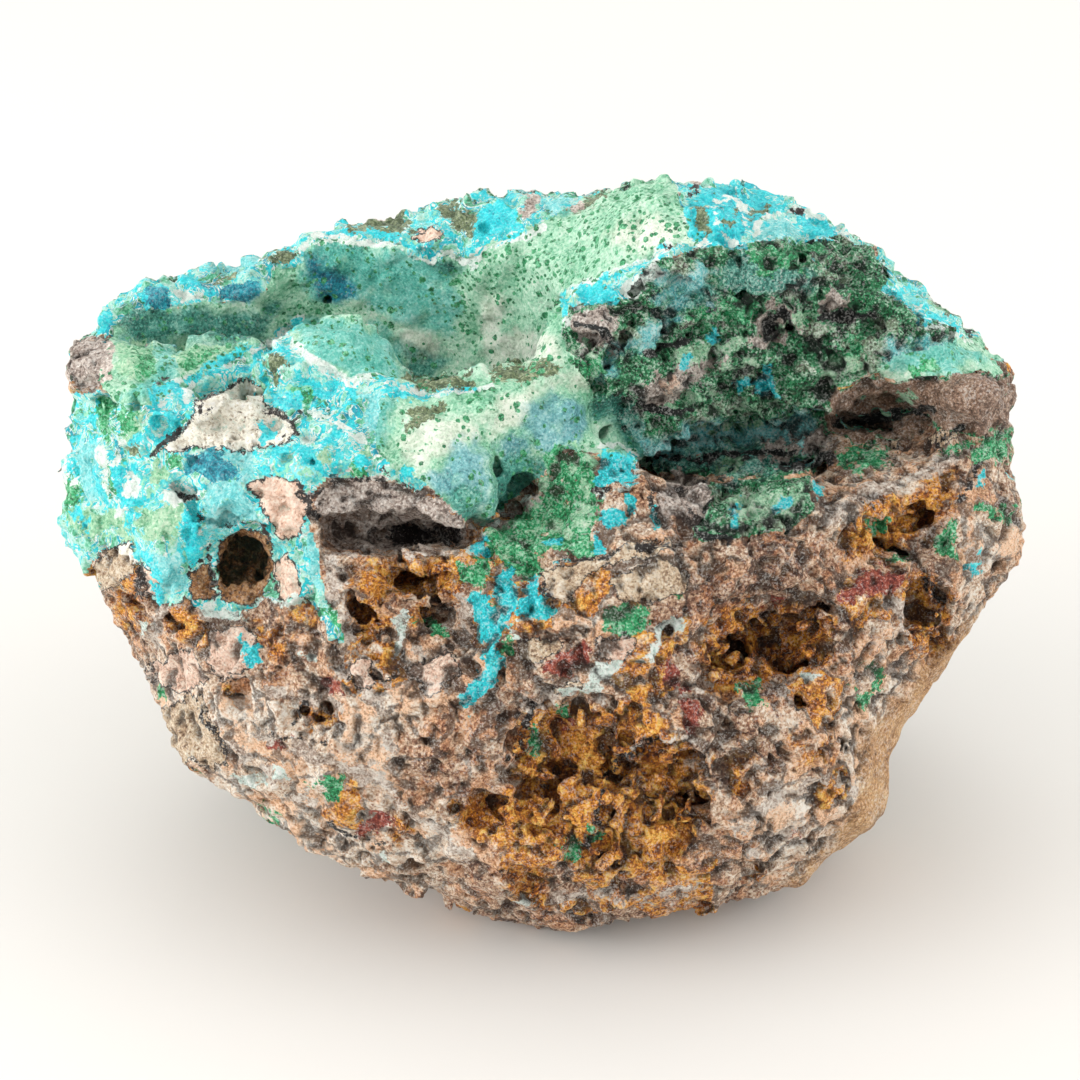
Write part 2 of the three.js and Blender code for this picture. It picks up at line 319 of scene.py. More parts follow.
# Patches of one mineral on another.
PATCHES = {
    "turquoise": [
        [(604, 452), (622, 448), (634, 460), (634, 482), (610, 490), (598, 486)],
        [(600, 512), (618, 508), (624, 514), (606, 528), (598, 522)],
        [(622, 496), (632, 494), (638, 512), (628, 510)], [(654, 512), (664, 524), (656, 532), (652, 524)],
        [(490, 574), (512, 566), (516, 604), (506, 614), (492, 606)],
        [(518, 588), (536, 576), (546, 598), (562, 610), (540, 622), (518, 612)],
        [(474, 608), (500, 612), (518, 626), (502, 634), (496, 650), (506, 664), (496, 684), (470, 712),
         (460, 702), (484, 662), (476, 636)],
        [(474, 545), (490, 542), (494, 558), (482, 554)], [(704, 338), (716, 332), (722, 342), (708, 344)],
        [(762, 366), (772, 366), (772, 396), (750, 396), (750, 388), (764, 378)],
        [(684, 206), (700, 190), (728, 180), (762, 192), (786, 206), (768, 218), (752, 224), (744, 240),
         (750, 250), (712, 246), (692, 236)],
        [(796, 216), (824, 216), (840, 232), (808, 238)],
        [(572, 288), (612, 282), (616, 298), (596, 304), (580, 300)],
        [(468, 222), (482, 208), (500, 196), (514, 206), (516, 226), (490, 242), (472, 238)],
        [(408, 248), (430, 248), (434, 256), (418, 256)],
        [(182, 502), (202, 500), (204, 556), (188, 566), (180, 540)],
        [(150, 284), (168, 288), (170, 306), (150, 312), (140, 300)],
        [(296, 444), (310, 440), (318, 468), (304, 468)], [(394, 468), (410, 464), (422, 480), (404, 480)],
        [(338, 398), (350, 396), (352, 406), (342, 408)], [(284, 396), (304, 398), (300, 410), (284, 408)],
        [(976, 486), (988, 474), (984, 488)], [(970, 564), (978, 554), (980, 572), (970, 576)],
        [(242, 642), (258, 650), (262, 664), (252, 670), (244, 658)],
    ],
    "malachite": [
        [(542, 464), (558, 448), (586, 450), (600, 470), (600, 500), (594, 540), (562, 546), (530, 562),
         (494, 562), (480, 550), (492, 528), (520, 506), (540, 496)],
        [(464, 562), (490, 556), (500, 566), (480, 590), (466, 580)],
        [(500, 552), (540, 556), (550, 570), (520, 584), (506, 574)],
        [(560, 530), (590, 528), (594, 552), (566, 554)], [(500, 638), (514, 640), (516, 656), (502, 654)],
        [(486, 606), (494, 604), (496, 614), (488, 614)],
        [(836, 456), (860, 446), (888, 446), (884, 466), (862, 472), (840, 464)],
        [(940, 450), (972, 436), (978, 448), (952, 458)],
        [(990, 440), (1012, 428), (1012, 460), (978, 470), (970, 456)],
        [(322, 608), (334, 604), (350, 634), (340, 638), (326, 618)],
        [(868, 520), (890, 518), (888, 538), (874, 536)], [(940, 530), (956, 524), (956, 556), (944, 552)],
        [(978, 506), (996, 506), (996, 518), (980, 514)],
        [(1000, 504), (1018, 500), (1016, 520), (1002, 520)],
        [(606, 612), (640, 600), (652, 610), (640, 628), (618, 640), (608, 628)],
        [(640, 594), (682, 590), (680, 602), (650, 600)],
        [(80, 412), (100, 398), (112, 404), (108, 440), (98, 436), (94, 420)],
        [(108, 406), (130, 410), (136, 420), (120, 436), (112, 424)],
        [(62, 476), (72, 470), (76, 500), (66, 512)],
        [(104, 466), (114, 458), (120, 490), (112, 502), (104, 488)],
        [(166, 456), (178, 458), (176, 470), (164, 468)], [(532, 730), (546, 730), (550, 752), (536, 752)],
        [(556, 704), (570, 702), (574, 718), (562, 718)], [(418, 618), (440, 622), (450, 636), (430, 632)],
        [(580, 690), (590, 690), (590, 698), (582, 698)], [(564, 846), (576, 846), (574, 856), (564, 856)],
        [(590, 830), (600, 830), (598, 838), (590, 838)], [(742, 686), (756, 684), (764, 704), (750, 710)],
        [(262, 804), (272, 810), (282, 834), (272, 830)], [(152, 680), (166, 684), (170, 698), (156, 696)],
        [(192, 756), (206, 762), (196, 768)], [(576, 352), (596, 346), (600, 372), (590, 386), (578, 372)],
        [(744, 246), (830, 240), (826, 266), (790, 276), (760, 272)],
        [(688, 312), (740, 296), (764, 304), (740, 324), (700, 330)],
        [(844, 336), (862, 334), (864, 356), (850, 360)], [(908, 362), (932, 358), (934, 370), (912, 376)],
        [(136, 356), (156, 350), (150, 376), (138, 378)],
        [(184, 364), (196, 356), (214, 348), (196, 372), (186, 376)],
        [(296, 392), (314, 384), (316, 402), (302, 406)], [(352, 456), (364, 460), (368, 476), (352, 474)],
        [(872, 668), (884, 672), (880, 690), (872, 684)], [(860, 690), (872, 694), (868, 706), (858, 704)],
        [(892, 552), (908, 550), (902, 562), (890, 562)],
        [(316, 784), (326, 774), (344, 784), (338, 800), (324, 798)],
    ],
    "mint": [
        [(820, 366), (836, 356), (856, 358), (858, 374), (834, 384), (822, 378)],
        [(680, 356), (704, 346), (740, 340), (736, 352), (704, 360), (690, 366)],
        [(132, 504), (180, 502), (182, 536), (150, 544), (136, 530)],
        [(140, 466), (164, 460), (176, 474), (152, 482)],
        [(64, 520), (96, 540), (110, 528), (128, 548), (150, 570), (140, 540), (116, 510), (80, 508),
         (66, 500)],
        [(716, 458), (742, 456), (740, 468), (722, 476)], [(322, 442), (332, 440), (336, 466), (324, 470)],
        [(354, 448), (366, 444), (372, 460), (358, 462)], [(116, 416), (146, 408), (140, 436), (118, 446)],
        [(176, 348), (210, 342), (232, 350), (204, 366), (182, 370)],
        [(116, 344), (150, 342), (156, 360), (126, 384), (112, 364)],
        [(724, 496), (800, 488), (804, 500), (760, 520), (730, 516)],
        [(900, 394), (916, 392), (914, 402), (900, 404)],
    ],
    "beige": [
        [(240, 376), (262, 390), (278, 410), (296, 428), (286, 440), (262, 446), (215, 447), (158, 450),
         (186, 430), (196, 404), (222, 390)],
        [(94, 562), (108, 548), (130, 546), (134, 563), (118, 584), (100, 592)],
        [(614, 582), (636, 568), (664, 558), (690, 572), (690, 590), (664, 600), (640, 604), (620, 598)],
        [(706, 505), (716, 498), (727, 506), (725, 526), (714, 531), (706, 520)],
        [(545, 574), (575, 562), (600, 560), (580, 590), (562, 604), (548, 590)],
        [(600, 556), (640, 544), (680, 544), (640, 556), (612, 566)],
        [(160, 712), (200, 696), (226, 756), (210, 768), (180, 762), (160, 748)],
        [(884, 436), (896, 430), (904, 440), (892, 444)], [(928, 438), (942, 430), (956, 434), (940, 444)],
        [(556, 690), (580, 676), (584, 686), (566, 694)],
        [(522, 644), (548, 640), (560, 646), (536, 662), (524, 660)],
    ],
    "rosy": [
        [(247, 483), (272, 478), (298, 482), (309, 510), (300, 541), (284, 544), (270, 520), (262, 500)],
        [(206, 652), (214, 634), (232, 624), (250, 636), (256, 658), (240, 678), (216, 674)],
        [(270, 564), (282, 558), (298, 592), (284, 600)],
        [(414, 230), (430, 224), (442, 232), (436, 240), (418, 240)],
        [(140, 566), (150, 568), (152, 596), (142, 594)], [(600, 640), (640, 636), (630, 656), (604, 654)],
        [(655, 386), (672, 376), (680, 384), (668, 396)],
        [(148, 662), (196, 652), (206, 680), (180, 692), (150, 680)],
        [(406, 660), (450, 650), (462, 676), (430, 694)], [(350, 664), (370, 660), (372, 684), (354, 686)],
    ],
    "white": [
        [(586, 692), (590, 668), (600, 660), (622, 661), (612, 674), (602, 680), (598, 694)],
        [(643, 664), (652, 644), (662, 638), (656, 662)],
        [(656, 626), (672, 616), (682, 622), (684, 634), (668, 628), (658, 636)],
        [(396, 652), (398, 625), (405, 609), (406, 630), (402, 655)],
        [(200, 608), (226, 604), (250, 610), (245, 621), (215, 619)],
        [(560, 690), (576, 682), (582, 690), (565, 696)], [(296, 656), (310, 652), (318, 660), (304, 664)],
        [(160, 488), (186, 484), (200, 494), (178, 496), (168, 502)],
        [(126, 470), (136, 474), (134, 492), (124, 494)], [(176, 290), (204, 288), (206, 300), (186, 306)],
        [(620, 286), (640, 274), (656, 258), (664, 272), (640, 292), (624, 296)],
        [(354, 428), (368, 432), (364, 444), (350, 446)], [(270, 762), (284, 770), (288, 780), (274, 776)],
        [(236, 776), (262, 776), (268, 784), (244, 784)], [(800, 674), (824, 676), (812, 682)],
        [(380, 852), (388, 860), (382, 864)], [(140, 622), (146, 620), (148, 632), (142, 632)],
        [(516, 904), (524, 900), (530, 908)],
    ],
    "red": [
        [(664, 664), (672, 660), (684, 682), (696, 694), (700, 738), (688, 738), (684, 700), (672, 684)],
        [(838, 592), (862, 570), (902, 567), (906, 584), (870, 600), (845, 602)],
        [(355, 829), (375, 815), (394, 812), (385, 824), (362, 834)],
        [(268, 742), (290, 737), (286, 752), (268, 753)],
        [(544, 656), (584, 648), (590, 662), (572, 678), (552, 672)],
        [(762, 598), (780, 596), (778, 604), (764, 606)], [(212, 652), (226, 650), (228, 662), (214, 662)],
        [(322, 684), (344, 688), (340, 700), (326, 694)], [(560, 716), (576, 718), (572, 730), (560, 726)],
        [(784, 832), (800, 828), (796, 838), (786, 840)],
    ],
    "smoky": [
        [(312, 500), (335, 480), (380, 474), (420, 490), (456, 512), (470, 530), (456, 542), (400, 548),
         (350, 552), (334, 548), (318, 520)],
        [(660, 486), (680, 472), (709, 480), (710, 510), (690, 521), (664, 516)],
        [(60, 350), (84, 332), (113, 338), (114, 376), (90, 388), (64, 376)],
        [(812, 300), (830, 290), (850, 296), (850, 316), (820, 318)],
        [(640, 390), (660, 376), (690, 360), (726, 352), (730, 362), (700, 376), (680, 400), (650, 412)],
        [(752, 320), (770, 300), (800, 322), (784, 344), (756, 346)],
        [(570, 326), (580, 310), (610, 312), (620, 328), (610, 346), (580, 348)],
        [(796, 440), (830, 424), (834, 450), (806, 462)],
        [(520, 210), (526, 196), (540, 196), (538, 212), (524, 218)],
        [(382, 212), (392, 204), (404, 210), (404, 226), (386, 222)],
        [(568, 206), (580, 200), (584, 210), (570, 214)], [(760, 440), (800, 436), (796, 466), (764, 462)],
    ],
    "olive": [
        [(494, 366), (520, 362), (556, 364), (558, 374), (520, 382), (496, 378)],
        [(400, 424), (408, 414), (440, 402), (446, 412), (420, 422), (404, 430)],
        [(400, 374), (420, 376), (470, 374), (480, 380), (460, 390), (420, 388)],
        [(694, 204), (708, 202), (710, 230), (700, 228)], [(722, 218), (734, 220), (730, 230), (722, 226)],
        [(736, 204), (742, 202), (744, 220), (738, 216)], [(746, 206), (766, 202), (770, 208), (752, 214)],
        [(266, 356), (278, 352), (284, 362), (276, 382), (266, 372)],
        [(340, 224), (358, 214), (404, 208), (412, 226), (380, 228), (350, 228)],
        [(436, 204), (462, 200), (474, 214), (468, 236), (460, 232), (448, 218)],
        [(418, 196), (440, 192), (450, 202), (424, 204)],
        [(262, 258), (290, 250), (304, 246), (296, 260), (270, 266)],
        [(122, 444), (138, 444), (136, 452), (122, 450)], [(210, 274), (230, 272), (232, 282), (214, 282)],
        [(564, 212), (580, 204), (600, 190), (606, 196), (584, 214)],
    ],
    # Teal: partly the minerals' own teal, partly painted shade in small hollows.
    "teal": [
        [(188, 456), (215, 450), (232, 462), (236, 476), (206, 480), (186, 474)],
        [(306, 262), (316, 256), (330, 270), (352, 274), (356, 300), (336, 306), (318, 292), (308, 276)],
        [(218, 286), (258, 280), (262, 296), (248, 308), (226, 308)],
        [(148, 288), (168, 290), (172, 308), (156, 314), (146, 304)],
        [(668, 310), (680, 288), (704, 280), (722, 284), (714, 306), (690, 316)],
        [(714, 472), (744, 472), (744, 486), (720, 488)], [(838, 412), (862, 410), (860, 420), (842, 422)],
    ],
    # Painted shade: darker greens where the vug's back wall, the lobes' undersides and the band under the
    # druse lie in shade.
    "dusk": [
        [(484, 532), (488, 500), (492, 462), (512, 456), (548, 456), (550, 476), (520, 504), (500, 522)],
        [(440, 500), (460, 480), (486, 490), (484, 524), (462, 520)],
        [(580, 402), (620, 396), (640, 412), (652, 446), (620, 440), (600, 420)],
        [(118, 320), (140, 310), (190, 306), (220, 314), (262, 312), (268, 300), (286, 300), (270, 328),
         (240, 342), (180, 338), (120, 342)],
        [(400, 350), (416, 358), (440, 350), (448, 358), (430, 378), (404, 376)],
        [(430, 262), (462, 262), (458, 272), (436, 274)],
        [(640, 432), (700, 440), (780, 446), (800, 462), (760, 476), (700, 472), (650, 466)],
        [(744, 248), (820, 264), (820, 290), (760, 300), (724, 292), (730, 262)],
    ],
    "specked": [
        [(470, 262), (500, 246), (540, 232), (566, 250), (560, 290), (500, 300), (470, 290)],
        [(560, 226), (600, 200), (620, 230), (606, 266), (570, 280)],
        [(600, 200), (640, 182), (684, 200), (690, 236), (640, 254), (620, 240)],
        [(452, 262), (470, 262), (476, 310), (470, 340), (458, 330)],
        [(312, 304), (345, 304), (372, 312), (366, 328), (326, 328), (310, 316)],
        [(126, 346), (158, 344), (156, 378), (136, 382)], [(180, 352), (226, 344), (216, 362), (188, 376)],
        [(476, 392), (500, 386), (512, 410), (486, 420)], [(290, 260), (310, 262), (310, 290), (292, 290)],
        [(100, 370), (130, 384), (120, 396), (100, 390)], [(520, 360), (556, 350), (560, 370), (530, 380)],
    ],
    "aqua": [
        [(292, 318), (330, 320), (362, 326), (390, 330), (400, 350), (398, 380), (350, 384), (318, 362),
         (296, 342)],
        [(305, 250), (345, 242), (400, 250), (446, 266), (464, 300), (452, 330), (420, 340), (402, 322),
         (350, 300), (310, 300), (298, 282)],
        [(150, 346), (178, 346), (182, 376), (150, 398), (120, 396), (130, 384), (156, 376)],
        [(636, 350), (644, 330), (668, 310), (664, 338), (645, 352)],
        [(660, 300), (676, 280), (700, 266), (716, 272), (690, 284), (670, 304)],
        [(640, 262), (668, 268), (676, 282), (660, 284)],
        [(752, 222), (790, 216), (800, 232), (778, 240), (754, 240)],
        [(890, 340), (950, 342), (1000, 362), (950, 372), (884, 368)],
        [(584, 364), (606, 354), (614, 370), (594, 382)], [(864, 398), (884, 392), (884, 408), (870, 412)],
        [(200, 484), (240, 474), (250, 500), (258, 520), (214, 528), (204, 520)],
        [(216, 450), (246, 448), (256, 476), (240, 480)],
        [(306, 532), (322, 530), (328, 590), (312, 590), (300, 560)],
        [(140, 550), (180, 560), (190, 590), (156, 596)], [(110, 580), (134, 572), (138, 588), (120, 594)],
        [(360, 396), (396, 400), (384, 440), (360, 432)], [(76, 440), (100, 440), (104, 500), (80, 500)],
        [(540, 200), (568, 198), (570, 212), (548, 214)],
        [(204, 262), (260, 250), (262, 262), (240, 272), (206, 272)],
        [(640, 430), (652, 446), (680, 444), (690, 452), (660, 462), (640, 452)],
    ],
    "blue": [
        [(426, 474), (446, 460), (460, 440), (480, 438), (490, 460), (492, 500), (478, 522), (455, 508),
         (436, 488)],
        [(524, 430), (530, 404), (552, 386), (578, 400), (590, 430), (580, 446), (540, 456)],
        [(498, 448), (512, 432), (526, 440), (524, 462), (506, 466)],
        [(700, 430), (760, 430), (790, 414), (816, 420), (818, 440), (800, 450), (770, 442), (704, 440)],
    ],
    "cream": [
        [(398, 440), (424, 422), (454, 412), (482, 424), (484, 438), (458, 444), (440, 462), (424, 474),
         (405, 462)],
        [(480, 340), (520, 330), (552, 338), (562, 358), (520, 366), (488, 366)],
        [(478, 424), (500, 398), (520, 392), (560, 376), (580, 380), (556, 390), (530, 400), (520, 424),
         (496, 434)],
        [(560, 372), (582, 370), (586, 390), (566, 392)],
        [(596, 240), (640, 212), (676, 222), (684, 244), (640, 250)],
        [(480, 300), (500, 296), (500, 330), (482, 336)],
        [(404, 332), (424, 326), (440, 340), (436, 366), (412, 362), (402, 350)],
    ],
    "mauve": [
        [(420, 700), (450, 692), (520, 690), (530, 720), (510, 780), (440, 796), (400, 800), (420, 760)],
        [(640, 660), (690, 610), (705, 650), (660, 664), (640, 690), (620, 690)],
        [(690, 540), (800, 536), (840, 568), (820, 600), (740, 600), (700, 625), (685, 600)],
        [(330, 640), (345, 600), (348, 700), (330, 700)], [(700, 840), (716, 844), (716, 862), (704, 862)],
        [(590, 610), (600, 580), (616, 600), (606, 640), (580, 640)],
        [(196, 620), (220, 622), (204, 650), (190, 646)],
    ],
    "pale": [
        [(140, 640), (226, 680), (300, 690), (400, 640), (470, 650), (440, 700), (400, 740), (400, 800),
         (470, 850), (440, 880), (300, 860), (200, 800), (140, 740)],
        [(830, 700), (900, 640), (970, 600), (1000, 560), (936, 690), (900, 780), (860, 840), (780, 880),
         (830, 800)],
        [(820, 520), (870, 480), (960, 446), (955, 464), (900, 496), (850, 528)],
        [(740, 780), (810, 780), (820, 850), (760, 870)],
        [(960, 520), (1020, 510), (1010, 570), (960, 600)],
        [(640, 636), (600, 630), (540, 620), (560, 600), (600, 610)],
        [(400, 690), (450, 684), (470, 700), (430, 716)],
    ],
    "worn": [
        [(905, 690), (950, 640), (1010, 580), (1030, 600), (950, 700), (900, 800), (840, 880), (770, 905),
         (815, 862), (852, 810), (868, 730)],
    ],
}

# Lines of one mineral on another: a width, and the pixels along it.
LINES = {
    "turquoise": [
        (10, [(205, 368), (225, 358), (246, 350)]), (9, [(276, 340), (284, 330), (296, 324)]),
        (8, [(258, 352), (256, 366), (264, 382), (276, 396), (288, 404)]), (6, [(268, 350), (290, 350)]),
        (7, [(300, 380), (312, 386), (318, 398), (310, 408)]), (8, [(334, 384), (326, 394), (322, 412)]),
        (7, [(342, 384), (352, 396), (350, 412), (348, 428)]), (11, [(352, 428), (334, 434), (322, 446)]),
        (8, [(336, 446), (342, 462), (334, 474), (322, 470)]), (9, [(358, 458), (370, 464)]),
        (7, [(378, 380), (390, 384), (386, 394)]), (9, [(386, 394), (404, 397), (424, 391)]),
        (4, [(438, 389), (478, 388)]), (10, [(156, 392), (158, 410), (156, 426)]),
        (8, [(158, 392), (176, 388), (184, 402)]), (9, [(188, 404), (182, 420), (170, 434), (160, 440)]),
        (6, [(166, 404), (172, 412), (166, 424)]), (7, [(190, 382), (202, 372)]),
        (9, [(262, 420), (272, 432), (262, 440)]), (8, [(128, 440), (140, 436)]),
        (9, [(86, 418), (90, 436)]), (7, [(72, 440), (70, 470)]),
        (8, [(112, 452), (124, 490), (128, 520), (138, 546), (156, 580)]), (9, [(122, 460), (134, 466)]),
        (8, [(120, 494), (140, 500), (156, 492)]), (6, [(96, 470), (100, 500)]),
        (8, [(76, 512), (84, 524)]), (8, [(264, 470), (290, 466)]), (8, [(286, 446), (276, 452)]),
        (8, [(152, 590), (158, 600)]), (9, [(88, 582), (94, 592)]),
        (10, [(330, 232), (348, 228), (372, 229), (396, 236)]), (8, [(400, 242), (412, 250), (428, 254)]),
        (9, [(444, 228), (456, 240), (464, 250), (478, 246)]),
        (8, [(478, 244), (500, 240), (520, 228), (536, 220)]), (8, [(498, 200), (508, 196)]),
        (8, [(300, 252), (294, 264), (280, 258), (266, 270)]), (8, [(184, 278), (200, 284), (214, 288)]),
        (6, [(134, 284), (126, 292), (116, 304)]), (6, [(108, 312), (102, 330)]),
        (9, [(602, 278), (620, 270), (636, 262)]), (8, [(566, 296), (564, 312)]),
        (7, [(660, 248), (664, 256)]), (9, [(690, 214), (694, 232), (706, 242)]),
        (6, [(736, 196), (760, 196), (784, 206)]), (5, [(798, 212), (820, 216), (846, 234)]),
        (5, [(886, 288), (900, 300), (916, 314)]), (6, [(920, 316), (940, 318), (952, 328)]),
        (7, [(738, 388), (748, 382)]), (5, [(684, 366), (690, 360)]), (6, [(470, 600), (484, 604)]),
        (5, [(552, 540), (560, 536)]), (7, [(596, 530), (600, 544)]), (6, [(733, 504), (732, 526)]),
        (5, [(778, 504), (784, 496)]), (5, [(816, 486), (819, 498)]), (5, [(556, 560), (572, 560)]),
    ],
    "white": [
        (8, [(262, 346), (280, 336), (300, 318)]), (8, [(296, 344), (320, 366), (350, 383), (380, 379)]),
        (5, [(400, 388), (440, 392), (476, 390), (494, 382)]), (6, [(228, 364), (250, 352)]),
        (6, [(196, 376), (180, 380), (166, 388)]), (6, [(162, 400), (174, 398)]),
        (6, [(194, 384), (188, 396)]), (5, [(306, 410), (336, 418), (352, 440)]),
        (6, [(306, 436), (320, 430)]), (5, [(100, 446), (108, 480), (120, 512)]),
        (5, [(122, 436), (116, 460)]), (5, [(62, 460), (66, 480)]),
        (3, [(482, 536), (504, 512), (530, 498)]),
        (6, [(604, 446), (618, 442), (632, 452), (636, 478), (622, 488), (598, 496)]),
        (5, [(560, 340), (566, 318), (574, 304)]),
        (6, [(562, 300), (580, 284), (610, 270), (640, 254), (670, 246)]),
        (5, [(310, 244), (340, 238), (396, 244), (406, 256), (430, 264), (448, 252), (466, 260),
             (482, 250)]),
        (5, [(484, 250), (520, 238), (545, 226)]), (5, [(320, 236), (300, 250)]),
        (6, [(480, 255), (476, 266)]), (4, [(684, 216), (694, 236), (704, 246)]),
        (5, [(712, 208), (718, 228), (732, 240), (744, 250)]),
        (4, [(718, 200), (734, 196), (750, 206), (744, 222)]),
        (3, [(752, 240), (756, 222), (772, 214), (796, 208)]), (5, [(792, 206), (830, 222), (850, 240)]),
        (5, [(950, 334), (972, 340)]), (4, [(886, 292), (918, 318), (948, 330)]),
        (5, [(462, 700), (470, 708)]), (3, [(478, 606), (492, 618), (510, 626), (520, 640)]),
        (3, [(492, 578), (514, 590), (530, 584), (544, 604)]), (3, [(470, 694), (480, 674), (494, 652)]),
        (4, [(520, 622), (560, 614)]), (4, [(484, 540), (470, 548)]),
        (4, [(264, 600), (290, 604), (312, 600)]),
    ],
    "aqua": [
        (11, [(702, 268), (686, 294), (666, 320)]), (14, [(664, 322), (648, 336)]),
        (6, [(642, 344), (606, 348)]), (12, [(632, 450), (660, 448), (690, 438)]),
        (16, [(690, 434), (740, 434), (784, 430)]), (22, [(796, 426), (806, 446)]),
    ],
    "mint": [
        (3, [(542, 492), (546, 470), (556, 452), (572, 444), (590, 456), (602, 474)]),
        (3, [(566, 466), (580, 480), (590, 500), (580, 514), (566, 508)]),
        (3, [(494, 530), (520, 512), (546, 500)]), (3, [(534, 536), (556, 524), (574, 530), (594, 518)]),
        (3, [(504, 556), (522, 544), (540, 552)]), (7, [(676, 356), (704, 350), (736, 342)]),
        (5, [(668, 410), (690, 400), (716, 396)]), (5, [(700, 420), (740, 410), (770, 404)]),
        (5, [(780, 330), (800, 318), (820, 316)]), (5, [(574, 350), (584, 340), (590, 350)]),
        (4, [(720, 430), (760, 424)]), (5, [(790, 262), (830, 256)]),
        (4, [(720, 372), (744, 366), (760, 360)]),
    ],
    "smoky": [
        (8, [(410, 482), (440, 504), (462, 524), (480, 530), (510, 512), (536, 498)]),
        (5, [(300, 544), (306, 500), (318, 480), (346, 468)]),
    ],
    "chalk": [
        (5, [(326, 536), (334, 554), (356, 558), (380, 549), (420, 550), (452, 544), (478, 538)]),
        (12, [(334, 560), (336, 600), (344, 640), (350, 668)]), (9, [(346, 640), (366, 656), (384, 680)]),
        (8, [(404, 650), (430, 654), (462, 640), (468, 600)]), (7, [(206, 530), (224, 522), (262, 524)]),
        (7, [(186, 586), (190, 566), (206, 562)]), (8, [(276, 556), (292, 580), (300, 600)]),
        (8, [(150, 640), (168, 600), (190, 596), (210, 620)]),
        (8, [(214, 730), (250, 760), (290, 790), (312, 810)]), (7, [(396, 812), (430, 826), (470, 856)]),
        (7, [(236, 700), (280, 694), (340, 706)]), (7, [(246, 730), (300, 750), (380, 780), (396, 810)]),
        (8, [(330, 660), (380, 700), (400, 760)]), (8, [(528, 706), (560, 694), (600, 700)]),
        (7, [(560, 900), (600, 896), (640, 900), (690, 886)]), (9, [(740, 830), (780, 800), (806, 790)]),
        (8, [(760, 850), (800, 826)]), (7, [(640, 744), (670, 736), (700, 740)]),
        (8, [(876, 606), (904, 600), (906, 640)]), (8, [(800, 790), (830, 776), (850, 790)]),
        (9, [(830, 520), (870, 492), (920, 470), (956, 458)]), (7, [(700, 690), (696, 660), (684, 640)]),
    ],
    # Dark cracks and clast outlines; the wider lines along crevices and cave mouths are painted shade.
    "dark_lines_and_shade": [
        (3, [(150, 452), (168, 440), (186, 428), (198, 412), (194, 402), (212, 392), (228, 384),
             (244, 378)]),
        (3, [(196, 416), (214, 410)]), (4, [(262, 398), (280, 414), (292, 420), (302, 410)]),
        (4, [(284, 436), (296, 430), (290, 420)]),
        (4, [(176, 494), (196, 496), (206, 504), (198, 516), (204, 530)]),
        (4, [(296, 478), (306, 496), (320, 492), (340, 478), (372, 477), (402, 482), (424, 494)]),
        (4, [(306, 496), (310, 512), (318, 520)]), (3, [(384, 466), (394, 476)]),
        (3, [(214, 540), (206, 560), (214, 580)]), (3, [(186, 580), (190, 566), (204, 562)]),
        (3, [(212, 528), (224, 522), (262, 524), (268, 540)]), (3, [(136, 596), (142, 566)]),
        (4, [(596, 492), (612, 490), (600, 500)]), (3, [(704, 508), (714, 498)]),
        (3, [(656, 486), (648, 500), (660, 512)]), (4, [(640, 548), (660, 544), (684, 552)]),
        (3, [(556, 560), (600, 556), (616, 548)]), (3, [(540, 586), (556, 604), (552, 616)]),
        (3, [(534, 706), (520, 740), (508, 760)]), (4, [(622, 760), (640, 744), (660, 740)]),
        (4, [(604, 780), (616, 762)]), (3, [(600, 790), (600, 830), (584, 850)]),
        (4, [(200, 706), (214, 730), (224, 756)]), (3, [(246, 720), (276, 740), (330, 742)]),
        (4, [(290, 722), (304, 706)]), (3, [(330, 820), (350, 836), (390, 846)]),
        (3, [(860, 500), (876, 512)]), (4, [(960, 500), (972, 484), (980, 468)]),
        (4, [(938, 444), (950, 434), (964, 428)]), (4, [(920, 576), (932, 590), (940, 606)]),
        (4, [(680, 486), (698, 530), (730, 540)]), (3, [(662, 248), (676, 246)]),
        (3, [(684, 190), (700, 186)]), (3, [(790, 208), (800, 212)]), (4, [(966, 328), (974, 334)]),
        (3, [(160, 384), (168, 378)]), (4, [(404, 650), (396, 668), (384, 680)]),
        (6, [(656, 456), (700, 458), (750, 455), (790, 452)]), (14, [(786, 468), (826, 458)]),
        (9, [(842, 424), (870, 420), (900, 414), (930, 410)]), (8, [(770, 340), (776, 314), (790, 330)]),
        (7, [(640, 400), (664, 412), (690, 412)]), (7, [(648, 356), (672, 346), (700, 340)]),
        (8, [(820, 320), (850, 312), (874, 318)]), (6, [(576, 322), (600, 330), (612, 340)]),
        (15, [(396, 534), (424, 536), (452, 536)]),
    ],
}

# The vug and its rim, as the solid has them. The rim is a slanting plane through a point, which rises so much
# for each mm across and each mm back.
VUG_MIDDLE = np.array([-31.0, 0.0, 67.0])
VUG_RADII = np.array([30.0, 16.0, 22.0])
RIM_POINT = np.array([-23.8, -15.6, 68.0])
RIM_RISE = np.array([0.115, 0.346])

# Where the minerals lie on the sides that the photograph doesn't show, in mm.
FRONT = -6  # in front of this, the photograph's outlines hold in the rock's hollows too
CRUST_LEVEL = 56  # height at which the crust starts
CRUST_TURN = 25  # further to the right than this, the crust reaches lower
OCHRE_TOP = 50  # height at which limonite ends
NOWHERE = -8.0  # depth into a zone that isn't there at all

MINERALS = ["matrix", "chrysocolla_crust", "hemimorphite_lining", "malachite_druse"]


def side_distance(pixels, start, end):
    """Pixels to the straight line between two points."""
    start, side = np.array(start, float), np.subtract(end, start).astype(float)
    share = np.clip((pixels - start) @ side / (side @ side), 0, 1)
    return np.linalg.norm(pixels - start - share[:, None] * side, axis=1)


